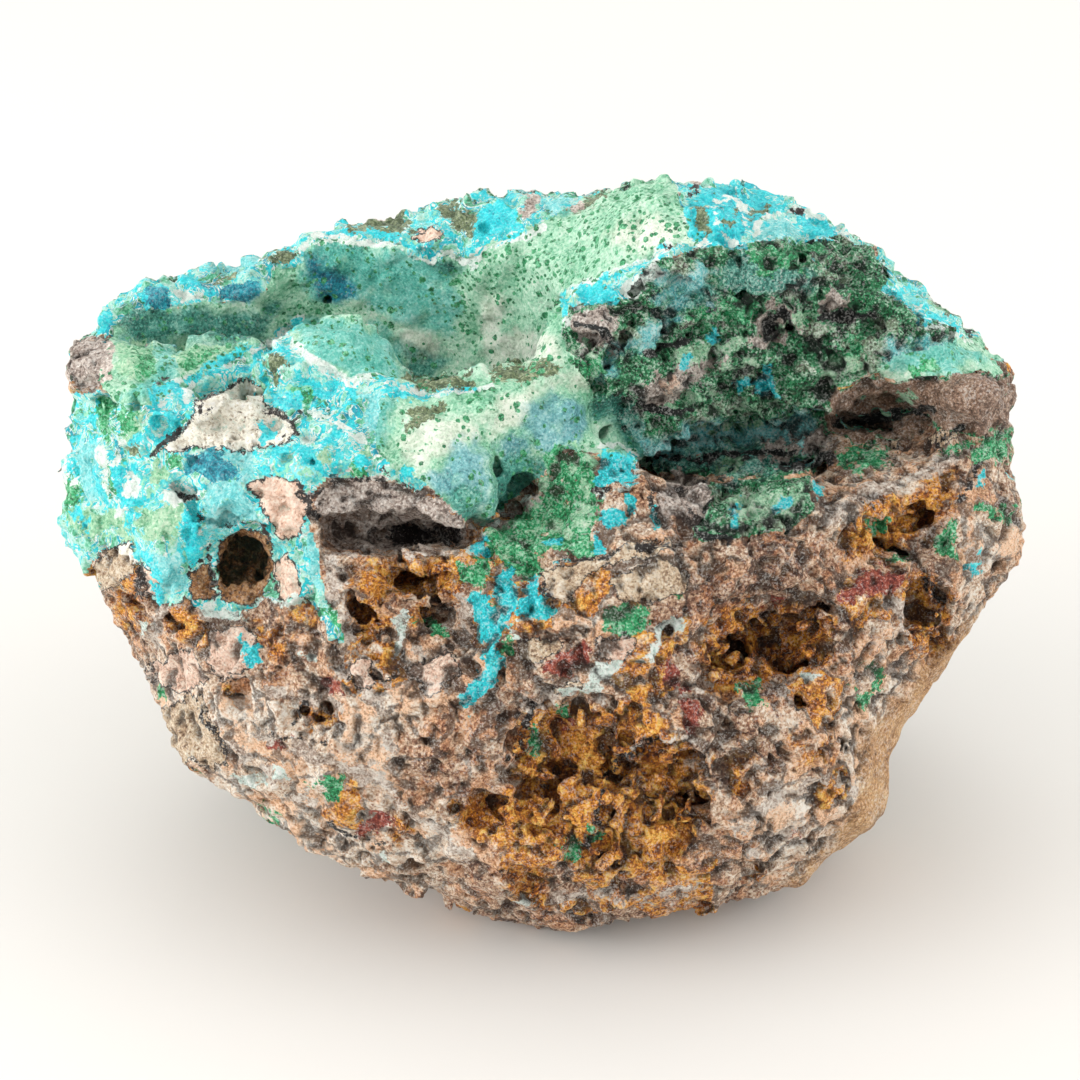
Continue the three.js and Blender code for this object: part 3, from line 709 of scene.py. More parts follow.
def polygon_depth(pixels, polygon):
    """Pixels to a polygon's edge, positive inside it."""
    nearest = np.full(len(pixels), np.inf)
    crossings = np.zeros(len(pixels), int)
    x, y = pixels.T
    for start, end in zip(polygon, polygon[1:] + polygon[:1]):
        nearest = np.minimum(nearest, side_distance(pixels, start, end))
        spans = (start[1] > y) != (end[1] > y)
        rise = (end[1] - start[1]) or 1e-9
        crossings += spans & (x < start[0] + (y - start[1]) * (end[0] - start[0]) / rise)
    return np.where(crossings % 2 == 1, nearest, -nearest)


def line_depth(pixels, width, corners):
    """Pixels to the edge of a line with a width, positive inside it."""
    sides = zip(corners, corners[1:])
    return width / 2 - np.min([side_distance(pixels, start, end) for start, end in sides], axis=0)


def outlined(pixels, kind, reach=60):
    """Millimetres into the nearest of a kind's outlines and lines, negative outside them all. Pixels that lie
    further than `reach` from all of them count as that far."""
    best = np.full(len(pixels), -reach, float)
    shapes = [(polygon_depth, (polygon,), polygon) for polygon in {**ZONES, **PATCHES}.get(kind, [])]
    shapes += [(line_depth, line, line[1]) for line in LINES.get(kind, [])]
    for depth, shape, corners in shapes:
        low, high = np.min(corners, 0) - reach, np.max(corners, 0) + reach
        near = np.all((pixels > low) & (pixels < high), axis=1)
        best[near] = np.maximum(best[near], depth(pixels[near], *shape))
    return best * PIXEL


def hidden_zones(points):
    """Millimetres into each zone, where the photograph doesn't show the rock."""
    x, _, z = points.T
    wide, fine = layers(points, 16, 40), layers(points, 5, 50)
    scaled = (points - VUG_MIDDLE) / VUG_RADII
    in_vug = (1 - np.linalg.norm(scaled, axis=1)) * 12
    under_rim = RIM_POINT[2] + (points[:, :2] - RIM_POINT[:2]) @ RIM_RISE - z
    crust = z - CRUST_LEVEL - 7 * wide - 3 * fine + 0.25 * np.maximum(x - CRUST_TURN, 0)
    return {
        "lining": np.minimum(in_vug, under_rim),
        "druse": np.minimum(crust - 4, 5 * layers(points, 11, 60)),
        "ledge": np.full(len(points), NOWHERE),
        "crust": crust,
        "ochre": np.minimum(9 * (layers(points, 13, 70) - 0.22), OCHRE_TOP - z),
    }


# How wide, in mm, and how rare a kind's patches are where the photograph doesn't show the rock.
STREWN = {
    "turquoise": (6, 0.55), "malachite": (7, 0.42), "mint": (8, 0.45), "beige": (8, 0.70), "rosy": (7, 0.80),
    "white": (4, 0.62), "red": (5, 0.62), "smoky": (8, 0.50), "olive": (6, 0.55), "teal": (8, 0.75),
    "dusk": (8, 0.60), "specked": (8, 0.40), "aqua": (9, 0.20), "blue": (8, 0.60), "cream": (8, 0.55),
    "mauve": (9, 0.20), "pale": (9, 0.15), "worn": (14, 0.35), "chalk": (4, 0.62),
}


def hidden_patches(points):
    """Millimetres into patches like the photograph's, strewn where it doesn't show the rock."""
    found = {"dark_lines_and_shade": np.full(len(points), NOWHERE)}
    for n, (kind, (size, rarity)) in enumerate(STREWN.items()):
        found[kind] = size * 0.7 * (layers(points, size, 80 + 5 * n, 2) - rarity)
    return found


def features(rock, points, normals):
    """Millimetres into every zone and patch, at each point."""
    pixels = to_pixels(points)
    ragged = 0.35 * layers(points, 2.2, 30)
    hidden = {**hidden_zones(points), **hidden_patches(points)}
    in_front = (points[:, 1] < FRONT + 4 * ragged) & (hidden["lining"] < 0)
    seen = rock.seen(points, normals) | in_front
    return {kind: np.where(seen, outlined(pixels, kind), hidden[kind]) + ragged for kind in hidden}


def ground(found):
    """The mineral that each point belongs to, as an index into MINERALS."""
    order = np.zeros(len(found["crust"]), int)
    order[found["crust"] > 0] = 1
    order[found["lining"] > 0] = 2
    order[(found["druse"] > 0) | (found["ledge"] > 0)] = 3
    return order


# Single hollows and lumps: a pixel, how far each reaches in mm across, up and in or out, and how boxy it is.
HOLLOWS = [
    ((212, 466), (3.4, 1.6, 0.9), 2), ((244, 556), (2.5, 2.6, 4.0), 5), ((234, 572), (1.8, 2.0, 3.0), 3),
    ((258, 584), (1.4, 1.2, 1.6), 2), ((200, 584), (1.5, 1.3, 1.4), 3), ((196, 490), (2.4, 0.5, 0.9), 2),
    ((414, 532), (6.6, 2.0, 11.0), 2), ((356, 532), (4.6, 2.7, 5.0), 2), ((336, 541), (1.8, 1.3, 3.4), 2),
    ((366, 546), (1.8, 1.4, 3.6), 2), ((384, 542), (3.0, 1.5, 6.0), 2), ((450, 534), (4.6, 1.2, 9.0), 2),
    ((486, 524), (3.2, 1.0, 6.0), 2), ((506, 508), (2.8, 1.2, 6.0), 2), ((520, 488), (2.8, 2.0, 3.4), 2),
    ((493, 472), (0.8, 2.6, 1.4), 2), ((538, 470), (2.4, 0.9, 1.4), 2), ((408, 577), (1.9, 1.4, 7.0), 3),
    ((446, 591), (1.2, 0.6, 1.6), 2), ((404, 610), (5.0, 0.9, 2.4), 2), ((374, 622), (1.6, 1.2, 1.6), 2),
    ((436, 626), (1.8, 1.0, 1.2), 2), ((326, 280), (3.0, 3.4, 1.4), 2), ((342, 292), (1.8, 2.0, 1.0), 2),
    ((238, 296), (2.6, 1.5, 0.8), 2), ((190, 622), (1.5, 0.9, 1.6), 2), ((758, 644), (5.4, 2.4, 2.2), 3),
    ((738, 652), (1.5, 0.9, 3.4), 2), ((770, 640), (1.4, 1.0, 3.4), 2), ((810, 636), (1.4, 1.0, 2.6), 2),
    ((718, 664), (1.8, 1.0, 2.6), 3), ((823, 604), (1.1, 1.1, 2.6), 3), ((562, 768), (1.7, 1.0, 2.8), 2),
    ((498, 806), (2.2, 0.8, 2.2), 2), ((540, 788), (2.2, 0.7, 2.4), 3), ((636, 768), (3.4, 1.2, 4.2), 3),
    ((640, 746), (2.4, 0.6, 2.6), 3), ((692, 762), (1.8, 0.8, 3.0), 3), ((690, 794), (1.7, 1.1, 3.0), 2),
    ((720, 726), (1.8, 0.8, 2.0), 3), ((790, 700), (3.0, 0.9, 2.0), 3), ((836, 744), (2.2, 0.8, 2.0), 3),
    ((748, 760), (2.2, 0.8, 1.6), 2), ((917, 503), (1.1, 1.0, 2.8), 3), ((930, 516), (0.9, 0.7, 2.0), 3),
    ((888, 546), (3.4, 0.8, 2.0), 3), ((916, 600), (1.3, 2.6, 2.4), 3), ((940, 590), (0.8, 2.2, 1.8), 3),
    ((316, 712), (2.0, 0.5, 1.2), 2), ((572, 904), (1.8, 0.7, 1.2), 2), ((700, 464), (8.0, 1.0, 6.0), 2),
    ((792, 466), (4.8, 1.6, 9.0), 2), ((646, 474), (2.2, 1.3, 3.0), 2), ((862, 422), (5.6, 1.3, 7.0), 2),
    ((912, 413), (6.0, 0.5, 3.6), 2), ((704, 298), (4.4, 1.2, 1.2), 2), ((674, 320), (1.2, 2.4, 1.0), 2),
    ((628, 350), (5.0, 0.7, 1.6), 2), ((780, 326), (4.4, 1.2, 1.2), 2), ((664, 396), (4.0, 1.0, 2.0), 2),
    ((862, 316), (3.4, 0.7, 1.0), 2), ((856, 346), (2.4, 0.6, 0.9), 2), ((598, 420), (2.2, 2.4, 0.9), 2),
    ((112, 402), (4.4, 0.9, 3.0), 2), ((214, 500), (3.4, 2.4, 0.8), 3), ((130, 324), (2.4, 1.8, 0.8), 2),
    ((272, 318), (1.4, 2.6, 0.8), 2),
]
LUMPS = [
    ((203, 582), (2.4, 2.2, 2.2), 2), ((346, 350), (6.6, 4.2, 4.4), 2.5), ((424, 348), (2.2, 2.5, 2.8), 2),
    ((452, 368), (3.6, 2.3, 3.0), 2), ((322, 254), (2.4, 1.8, 2.4), 2), ((376, 262), (2.8, 2.4, 2.4), 2),
    ((432, 286), (3.0, 2.2, 1.8), 2), ((505, 350), (3.6, 2.6, 1.8), 2), ((546, 350), (2.8, 2.2, 1.8), 2),
    ((134, 368), (3.6, 3.2, 3.0), 2), ((168, 368), (2.6, 3.2, 3.0), 2), ((205, 358), (3.6, 2.2, 2.6), 2),
    ((440, 446), (5.4, 3.4, 6.4), 2), ((462, 486), (3.6, 4.2, 6.6), 2), ((552, 416), (3.8, 4.0, 6.6), 2),
    ((510, 440), (2.0, 2.6, 4.6), 2), ((584, 446), (2.0, 1.6, 2.4), 2), ((385, 494), (8.8, 2.2, 4.2), 2),
    ((446, 516), (3.0, 1.6, 3.4), 2), ((402, 551), (8.0, 0.7, 1.8), 3), ((340, 552), (2.0, 1.2, 1.8), 3),
    ((404, 595), (6.6, 0.6, 1.8), 3), ((400, 634), (0.6, 3.0, 2.0), 3), ((282, 510), (3.4, 4.0, 1.8), 4),
    ((240, 416), (6.6, 4.0, 1.5), 4), ((230, 652), (3.0, 3.4, 2.2), 2), ((176, 672), (3.6, 2.0, 1.6), 2),
    ((114, 566), (2.6, 2.4, 2.0), 2), ((680, 497), (3.4, 2.2, 3.0), 3), ((716, 516), (1.2, 1.9, 2.0), 2),
    ((566, 484), (3.4, 4.4, 3.4), 3), ((617, 468), (2.3, 2.9, 2.8), 4), ((520, 536), (4.6, 3.0, 2.0), 3),
    ((516, 600), (3.8, 3.6, 1.3), 4), ((690, 700), (1.4, 4.6, 1.4), 3), ((604, 678), (2.0, 1.6, 1.2), 3),
    ((656, 644), (1.2, 2.2, 1.4), 3), ((843, 368), (2.6, 1.9, 2.6), 2), ((648, 580), (4.4, 2.0, 2.0), 3),
    ((574, 580), (3.0, 1.9, 1.6), 3), ((640, 552), (5.0, 0.9, 1.8), 3), ((862, 456), (3.8, 1.5, 2.2), 3),
    ((895, 438), (1.6, 0.9, 1.4), 3), ((944, 436), (2.0, 0.9, 1.4), 3), ((845, 478), (3.0, 2.2, 1.6), 3),
    ((935, 398), (9.4, 2.4, 2.4), 4), ((600, 322), (4.6, 1.9, 3.0), 3), ((598, 293), (3.4, 1.1, 2.0), 3),
    ((652, 335), (1.7, 2.6, 1.8), 2), ((712, 352), (4.8, 1.1, 2.4), 2), ((762, 382), (2.0, 1.8, 1.4), 4),
    ((662, 446), (3.6, 1.4, 4.2), 2), ((742, 435), (6.4, 1.2, 4.4), 2), ((800, 432), (3.2, 2.4, 5.0), 2),
    ((848, 276), (4.6, 3.2, 2.6), 3), ((730, 466), (2.0, 1.2, 2.0), 3), ((764, 504), (5.6, 1.6, 1.8), 3),
    ((170, 412), (2.4, 3.0, 1.6), 2), ((328, 456), (1.4, 2.6, 1.4), 3), ((360, 462), (1.4, 1.8, 1.4), 3),
    ((92, 420), (1.8, 2.8, 1.8), 3), ((70, 492), (1.2, 3.0, 1.4), 3), ((600, 800), (0.7, 6.4, 1.4), 3),
    ((664, 770), (0.6, 3.0, 1.6), 3), ((620, 756), (3.0, 0.6, 1.4), 3), ((740, 616), (4.6, 0.8, 1.4), 3),
    ((786, 664), (4.6, 0.8, 1.4), 3), ((432, 232), (2.0, 1.2, 1.6), 3), ((394, 212), (2.0, 1.6, 1.6), 3),
    ((530, 208), (1.6, 1.6, 2.2), 4), ((500, 226), (2.6, 1.8, 1.8), 3),
]

# Random shapes that make each ground's texture: how many, their least and greatest radius in mm, how far
# they reach in or out against their width, how boxy they are, and whether they are grown or carved.
TEXTURES = [
    ("matrix", 1500, (0.5, 1.8), 0.3, 4, "grow"),
    ("matrix", 1300, (0.35, 0.9), 0.9, 3, "carve"),
    ("ochre", 1300, (0.5, 1.7), 1.1, 4, "carve"),
    ("ochre", 600, (0.4, 1.1), 0.7, 3, "grow"),
    ("chrysocolla_crust", 900, (0.5, 1.6), 0.55, 2, "grow"),
    ("chrysocolla_crust", 420, (0.4, 1.1), 0.8, 2, "carve"),
    ("hemimorphite_lining", 500, (0.7, 1.7), 0.45, 2, "grow"),
    ("malachite_druse", 2200, (0.4, 1.9), 0.9, 5, "grow"),
    ("malachite_druse", 900, (0.35, 1.0), 1.0, 3, "carve"),
    ("ledge", 260, (0.5, 1.3), 0.4, 3, "grow"),
]

# The visual's pieces, and the ground that each one shows. The brown rock is cut in four.
PIECES = {
    "breccia_right": "matrix",
    "limonite": "matrix",
    "breccia_back": "matrix",
    "breccia_left": "matrix",
    "chrysocolla_crust": "chrysocolla_crust",
    "hemimorphite_lining": "hemimorphite_lining",
    "malachite_druse": "malachite_druse",
}

BACK = 6  # behind this, the brown rock is the back piece
LEFT = -8  # to the left of this, it is the left piece
OCHRE_INSET = 0.6  # this far into the ochre, it is the limonite

# How each ground's cells, coarse noise, fine noise and pores raise or sink it, in mm.
RELIEF = {
    "matrix": (0.20, 0.16, 0.26, 0.50),
    "chrysocolla_crust": (0.40, 0.28, 0.16, 0.2),
    "hemimorphite_lining": (0.20, 0.22, 0.10, 0.0),
    "malachite_druse": (0.30, 0.35, 0.45, 0.6),
}


def sculpt(rock):
    """Builds up the rock's single lumps and carves its hollows."""
    rock.values += TRIM
    places = rock.hit([pixel for pixel, _, _ in LUMPS])
    for place, out, (_, radii, power) in zip(places, rock.outward(places), LUMPS):
        rock.grow(place - 0.5 * radii[2] * out, radii, axes_along(out), power)
    places = rock.hit([pixel for pixel, _, _ in HOLLOWS])
    for place, (_, radii, power) in zip(places, HOLLOWS):
        rock.carve(place, radii, axes_along(unit(EYE - place)), power)


def add_texture(rock):
    """Grows and carves each ground's random shapes, at places drawn from the surface."""
    points = rock.mesh()[0]
    points = points[rng.permutation(len(points))[:SAMPLED]]
    normals = rock.outward(points)
    found = features(rock, points, normals)
    grounds = np.array(MINERALS)[ground(found)]
    grounds[(grounds == "matrix") & (found["ochre"] > 0)] = "ochre"
    grounds[(grounds == "matrix") & (found["worn"] > 0)] = "worn"
    grounds[found["ledge"] > 0] = "ledge"
    for name, count, (least, most), depth, power, work in TEXTURES:
        places = np.flatnonzero(grounds == name)
        for n in rng.choice(places, min(count, len(places)), replace=False):
            size = least + (most - least) * rng.random() ** 2
            radii = size * np.array([rng.uniform(0.7, 1.6), rng.uniform(0.5, 1.0), depth])
            out = unit(normals[n] + rng.normal(0, 0.3, 3))
            getattr(rock, work)(points[n], radii, axes_along(out, rng.normal(size=3)), power, 0.35 * size)


def cell_pattern(points):
    """Clasts and small lumps: each point's random value and its distance from its cell's edge."""
    bent = points + 1.1 * drift(points, 4.0, 300)
    clast, clast_edge = Cells(CLAST_SIZE, 330)(bent)
    lump, lump_edge = Cells(LUMP_SIZE, 340)(bent)
    return {"clast": clast, "clast_edge": clast_edge, "lump": lump, "lump_edge": lump_edge}


def roughen(points, normals, grounds, found):
    """Moves the mesh's points: sideways to break up round shapes, and in and out to roughen them."""
    cells, coarse, fine, pores = np.array([RELIEF[name] for name in MINERALS])[grounds].T
    pores = pores * np.where(found["ochre"] > 0, 1.6, 1.0)
    plates = (found["clast"] - 0.5) - 0.9 * np.exp(-found["clast_edge"] / 0.35)
    domes = np.minimum(found["lump_edge"], 0.9) - 0.4
    height = cells * (plates + domes)
    height += coarse * layers(points, 2.6, 240, 2)
    height += fine * layers(points, 1.1, 260, 2)
    porous = 1.1 + 0.6 * layers(points, 9, 290, 1)
    calm = np.clip(np.maximum(found["worn"], 0.4 * found["ledge"]), 0, 1)
    # Where the pores lie: they are sunk into the mesh, and the materials paint shade in them.
    found["pore"] = np.clip(5 * (porous * layers(points, 1.3, 280, 2) - 0.30), 0, 1) * (1 - 0.8 * calm)
    height = (height - pores * found["pore"]) * (1 - 0.6 * calm)
    moved = points + SIDEWAYS * drift(points, 3.5, 200) + height[:, None] * normals
    return np.maximum(moved, [-np.inf, -np.inf, 0.0])


def add(name, data):
    """A new object in the scene."""
    thing = bpy.data.objects.new(name, data)
    bpy.context.scene.collection.objects.link(thing)
    return thing


def new_mesh(name, points, triangles, quads, values):
    """A piece with its faces and, at each point, the values that its material reads."""
    mesh = bpy.data.meshes.new(name)
    sides = np.concatenate([np.full(len(triangles), 3), np.full(len(quads), 4)])
    corners = np.concatenate([triangles.ravel(), quads.ravel()]).astype(np.int32)
    mesh.vertices.add(len(points))
    mesh.vertices.foreach_set("co", (points * MM).astype(np.float32).ravel())
    mesh.loops.add(len(corners))
    mesh.loops.foreach_set("vertex_index", corners)
    mesh.polygons.add(len(sides))
    mesh.polygons.foreach_set("loop_start", np.concatenate([[0], np.cumsum(sides)[:-1]]).astype(np.int32))
    mesh.update(calc_edges=True)
    for key, value in values.items():
        mesh.attributes.new(key, "FLOAT", "POINT").data.foreach_set("value", value.astype(np.float32))
    mesh.polygons.foreach_set("use_smooth", np.ones(len(sides), bool))
    return add(name, mesh)


def parts(points, grounds, found):
    """The piece that each point belongs to, as an index into PIECES."""
    x, y, _ = (points + 3 * drift(points, 6, 400, 3)).T
    brown = np.select([found["ochre"] > OCHRE_INSET, y > BACK, x < LEFT], [1, 2, 3], 0)
    return np.where(grounds == 0, brown, grounds + 3)


def split(points, triangles, quads, owners, found):
    """One mesh for each piece, sharing the places of their common edges."""
    pieces = {}
    for n, name in enumerate(PIECES):
        own_triangles = triangles[np.max(owners[triangles], axis=1, initial=0) == n]
        own_quads = quads[np.max(owners[quads], axis=1) == n]
        used = np.unique(np.concatenate([own_triangles.ravel(), own_quads.ravel()]))
        renumber = np.full(len(points), -1)
        renumber[used] = np.arange(len(used))
        pieces[name] = new_mesh(name, points[used], renumber[own_triangles], renumber[own_quads],
                                {key: value[used] for key, value in found.items()})
    return pieces


def linear(colour):
    """A colour's red, green and blue from 0 to 255, as Blender mixes them."""
    return [((c / 255 + 0.055) / 1.055) ** 2.4 if c > 10 else c / 3294 for c in colour]


class Shader:
    """A material's nodes, joined by short calls that hand on sockets."""

    def __init__(self, name):
        self.material = bpy.data.materials.new(name)
        self.material.use_nodes = True
        self.tree = self.material.node_tree
        self.surface = self.tree.nodes["Principled BSDF"]
        self.place = self.node("TexCoord").outputs["Object"]

    def node(self, kind, inputs=None, **settings):
        """A new node, with its settings set and its inputs given."""
        node = self.tree.nodes.new("ShaderNode" + kind)
        for name, value in settings.items():
            setattr(node, name, value)
        for name, value in (inputs or {}).items():
            self.give(node.inputs[name], value)
        return node

    def give(self, socket, value):
        """Joins another node's socket to this one, or sets a colour or a number on it."""
        if isinstance(value, bpy.types.NodeSocket):
            self.tree.links.new(value, socket)
        elif socket.type == "RGBA":
            socket.default_value = (*linear(value), 1)
        else:
            socket.default_value = value

    def depth(self, kind):
        """Millimetres into a zone or patch."""
        return self.node("Attribute", attribute_name=kind).outputs["Fac"]

    def noise(self, size, detail=3, roughness=0.6, warp=0.0):
        """Random values, 0 to 1, with bumps about `size` mm wide."""
        inputs = {"Vector": self.place, "Scale": 1 / (size * MM), "Detail": detail, "Roughness": roughness,
                  "Distortion": warp}
        return self.node("TexNoise", inputs).outputs["Fac"]

    def math(self, operation, *values):
        """One sum on sockets and numbers."""
        node = self.node("Math", operation=operation)
        for socket, value in zip(node.inputs, values):
            self.give(socket, value)
        return node.outputs[0]

    def plus(self, base, value, factor):
        """A base plus a value times a factor."""
        return self.math("MULTIPLY_ADD", value, factor, base)

    def times(self, value, factor):
        """A value times a factor."""
        return self.math("MULTIPLY", value, factor)

    def centred(self, value):
        """A value from 0 to 1, moved to lie round zero."""
        return self.math("SUBTRACT", value, 0.5)

    def grains(self, size):
        """A crisp random value for each tiny grain, with a softer one mixed in."""
        inputs = {"Vector": self.place, "Scale": 1 / (size * MM)}
        crisp = self.gain(self.node("TexVoronoi", inputs).outputs["Color"], 1.7)
        soft = self.gain(self.noise(2.5 * size, 4, 0.8), 2.4)
        return self.plus(self.times(soft, 0.55), crisp, 0.45)

    def dots(self, size, width, rough):
        """How far each place lies inside round dots, in dot cells, and each cell's random value."""
        inputs = {"Vector": self.place, "Scale": 1 / (size * MM)}
        cells = self.node("TexVoronoi", inputs)
        far = self.plus(cells.outputs["Distance"], self.centred(self.noise(0.6 * size)), rough)
        return self.math("SUBTRACT", width, far), cells.outputs["Color"]

    def gain(self, value, factor):
        """Spreads a noise's values wider round one half."""
        return self.plus(0.5, self.centred(value), factor)

    def between(self, value, low, high):
        """0 below `low` and 1 above `high`."""
        inputs = {"Value": value, "From Min": low, "From Max": high}
        return self.node("MapRange", inputs, interpolation_type="SMOOTHSTEP").outputs["Result"]

    def mix(self, share, under, over, blend="MIX"):
        """One colour over another, as far as the share goes. Sockets 6 and 7 hold the node's two colours."""
        node = self.node("Mix", data_type="RGBA", blend_type=blend)
        for socket, value in zip((node.inputs[0], node.inputs[6], node.inputs[7]), (share, under, over)):
            self.give(socket, value)
        return node.outputs[2]

    def ramp(self, value, stops):
        """The colour of a palette at a value."""
        node = self.node("ValToRGB", {"Fac": value})
        marks = node.color_ramp.elements
        while len(marks) < len(stops):
            marks.new(1)
        for mark, (place, colour) in zip(marks, stops):
            mark.position = place
            mark.color = (*linear(colour), 1)
        return node.outputs["Color"]

    def cover(self, under, kind, over, fray, reach, line=None, soft=0.1):
        """Lays a patch's colour over another, its edge frayed over `reach` mm, perhaps with a line round it.
        No place counts as more than a millimetre inside it, so the fray opens gaps in a wide patch too."""
        depth = self.math("MINIMUM", self.depth(kind), 1.0)
        into = self.plus(depth, self.centred(fray), reach)
        if line:
            under = self.mix(self.between(into, -0.35, -0.2), under, line)
        return self.mix(self.between(into, -soft, soft), under, over)

    def finish(self, colour, rough, rise):
        """Joins a colour, a roughness and a bump of crumbs, `rise` mm high, to the surface."""
        crumbs = self.noise(0.8, 5, 0.8)
        bump = self.node("Bump", {"Height": crumbs, "Distance": rise * MM, "Strength": 1.0})
        self.give(self.surface.inputs["Normal"], bump.outputs["Normal"])
        self.give(self.surface.inputs["Base Color"], colour)
        self.give(self.surface.inputs["Roughness"], rough)
        return self.material


# Colours, from 0 to 255. A palette lists values of a noise and the colours that they stand for.
# Dark lines: cracks and clast outlines, and painted shade in crevices and cave mouths.
DARK_LINE_AND_SHADE = (38, 30, 28)
DRUSE_DARK_LINE_AND_SHADE = (12, 20, 18)
SEAM = (60, 44, 38)
PORE_SHADE = (40, 24, 14)
DRUSE_PORE_SHADE = (8, 14, 12)
WARMTH = (255, 208, 164)
GLINT = (254, 252, 246)
ROCK = [(0.12, (40, 24, 18)), (0.30, (108, 68, 49)), (0.43, (160, 116, 89)), (0.54, (200, 164, 133)),
        (0.67, (230, 206, 179)), (0.84, (250, 240, 226))]
WORN = [(0.22, (124, 86, 52)), (0.42, (190, 142, 92)), (0.62, (218, 174, 122)), (0.82, (228, 204, 162))]
CHALK = [(0.12, (90, 70, 58)), (0.34, (176, 152, 134)), (0.55, (216, 200, 184)), (0.85, (244, 238, 228))]
OCHRE = [(0.14, (36, 14, 4)), (0.32, (108, 54, 16)), (0.45, (180, 100, 24)), (0.57, (236, 156, 38)),
         (0.78, (252, 208, 108))]
CRUST = [(0.10, (36, 120, 86)), (0.26, (74, 180, 134)), (0.40, (140, 218, 190)), (0.52, (202, 240, 228)),
         (0.63, (128, 222, 208)), (0.75, (26, 202, 212)), (0.90, (156, 226, 190))]
TURQUOISE = [(0.15, (4, 150, 174)), (0.42, (10, 204, 216)), (0.62, (40, 224, 230)), (0.88, (136, 238, 238))]
MALACHITE = [(0.14, (8, 52, 28)), (0.36, (16, 124, 66)), (0.56, (44, 178, 112)), (0.82, (166, 228, 190))]
SPECK = [(0.15, (10, 84, 48)), (0.50, (36, 142, 86)), (0.85, (110, 196, 146))]
BEIGE = [(0.14, (92, 78, 66)), (0.26, (184, 168, 146)), (0.42, (234, 228, 210)), (0.60, (246, 242, 228)),
         (0.84, (254, 252, 246))]
SAND = [(0.14, (92, 68, 50)), (0.30, (170, 138, 108)), (0.48, (218, 192, 158)), (0.80, (244, 232, 210))]
PIT = [(0.14, (34, 18, 10)), (0.38, (112, 70, 38)), (0.56, (172, 118, 66)), (0.82, (214, 178, 136))]
ROSY = [(0.12, (140, 98, 80)), (0.35, (230, 188, 162)), (0.75, (252, 234, 216))]
WHITE = [(0.12, (150, 186, 176)), (0.40, (216, 232, 222)), (0.80, (246, 250, 244))]
RED = [(0.15, (56, 16, 14)), (0.45, (146, 54, 40)), (0.80, (206, 116, 88))]
SMOKY = [(0.12, (56, 44, 40)), (0.34, (142, 126, 116)), (0.54, (200, 184, 172)), (0.82, (244, 236, 228))]
LEDGE = [(0.12, (72, 50, 40)), (0.36, (136, 104, 84)), (0.58, (174, 140, 116)), (0.85, (224, 200, 180))]
DRUSE = [(0.16, (6, 16, 10)), (0.34, (8, 62, 34)), (0.50, (18, 128, 70)), (0.64, (72, 172, 118)),
         (0.84, (206, 234, 210))]
PALE_GREEN = [(0.14, (60, 136, 100)), (0.34, (118, 190, 150)), (0.52, (166, 216, 184)),
              (0.72, (202, 232, 208)), (0.90, (230, 242, 224))]
AQUA = [(0.15, (34, 130, 116)), (0.38, (78, 184, 166)), (0.60, (120, 206, 192)), (0.85, (180, 230, 220))]
BLUE = [(0.18, (62, 124, 132)), (0.42, (98, 166, 170)), (0.62, (136, 196, 198)), (0.85, (190, 226, 224))]
CREAM = [(0.18, (160, 184, 154)), (0.42, (212, 228, 206)), (0.75, (242, 246, 232))]
# Painted shade: the pale greens as they look in shade.
SHADE_GREENS = [(0.15, (12, 52, 48)), (0.38, (34, 118, 104)), (0.60, (84, 168, 150)), (0.85, (168, 220, 204))]
MINT = [(0.18, (88, 164, 116)), (0.45, (142, 204, 160)), (0.80, (208, 232, 202))]
SKY = [(0.18, (70, 186, 192)), (0.45, (116, 216, 216)), (0.80, (188, 236, 232))]
OLIVE = [(0.15, (32, 46, 30)), (0.42, (82, 100, 66)), (0.62, (126, 140, 100)), (0.85, (186, 196, 160))]
TEAL = [(0.18, (2, 70, 94)), (0.42, (6, 124, 146)), (0.62, (26, 162, 180)), (0.85, (90, 208, 216))]


def lay_patches(make, colour, grain, fray, patches):
    """Lays patches over a ground's colour: each its kind, its palette, how many mm its edge is frayed over,
    and sometimes the colour of a line round it."""
    tint = make.plus(make.times(grain, 0.62), make.gain(make.noise(1.6, 6, 0.75, 0.6), 2.6), 0.38)
    for kind, stops, reach, *line in patches:
        colour = make.cover(colour, kind, make.ramp(tint, stops), fray, reach, *line)
    return colour


def draw_cracks_and_shade(make, colour):
    """Draws the thin dark cracks and specks, and painted shade along the crevices and cave mouths."""
    return make.cover(colour, "dark_lines_and_shade", DARK_LINE_AND_SHADE, make.noise(0.8, 4, 0.7), reach=2.6)


def shadow_dips(make, colour, dip_shade, deep_shade):
    """Painted shade: multiplies the colour by darker tints in the rock's small dips and in its deep hollows,
    with ragged edges.
    """
    ragged = make.centred(make.noise(0.9, 4, 0.75))
    for place, low, high, tint in (("hollow", 0.2, 0.8, dip_shade), ("deep", 0.9, 2.0, deep_shade)):
        share = make.between(make.plus(make.depth(place), ragged, 2.4), low, high)
        colour = make.mix(share, colour, tint, "MULTIPLY")
    return colour


def season(make, colour, share, tint=(112, 104, 98)):
    """Strews darker and paler specks of the same colour, a third of a millimetre wide: the darker ones are
    painted shade of tiny pits, the paler ones painted glints.
    """
    fleck = make.noise(0.32, 2, 0.7)
    patchy = make.centred(make.noise(3.2))
    dark = make.between(make.plus(fleck, patchy, 0.5), 0.44, 0.39)
    bright = make.between(make.plus(fleck, patchy, 0.4), 0.56, 0.60)
    colour = make.mix(make.times(dark, share), colour, tint, "MULTIPLY")
    return make.mix(make.times(bright, share), colour, make.mix(0.6, colour, GLINT))


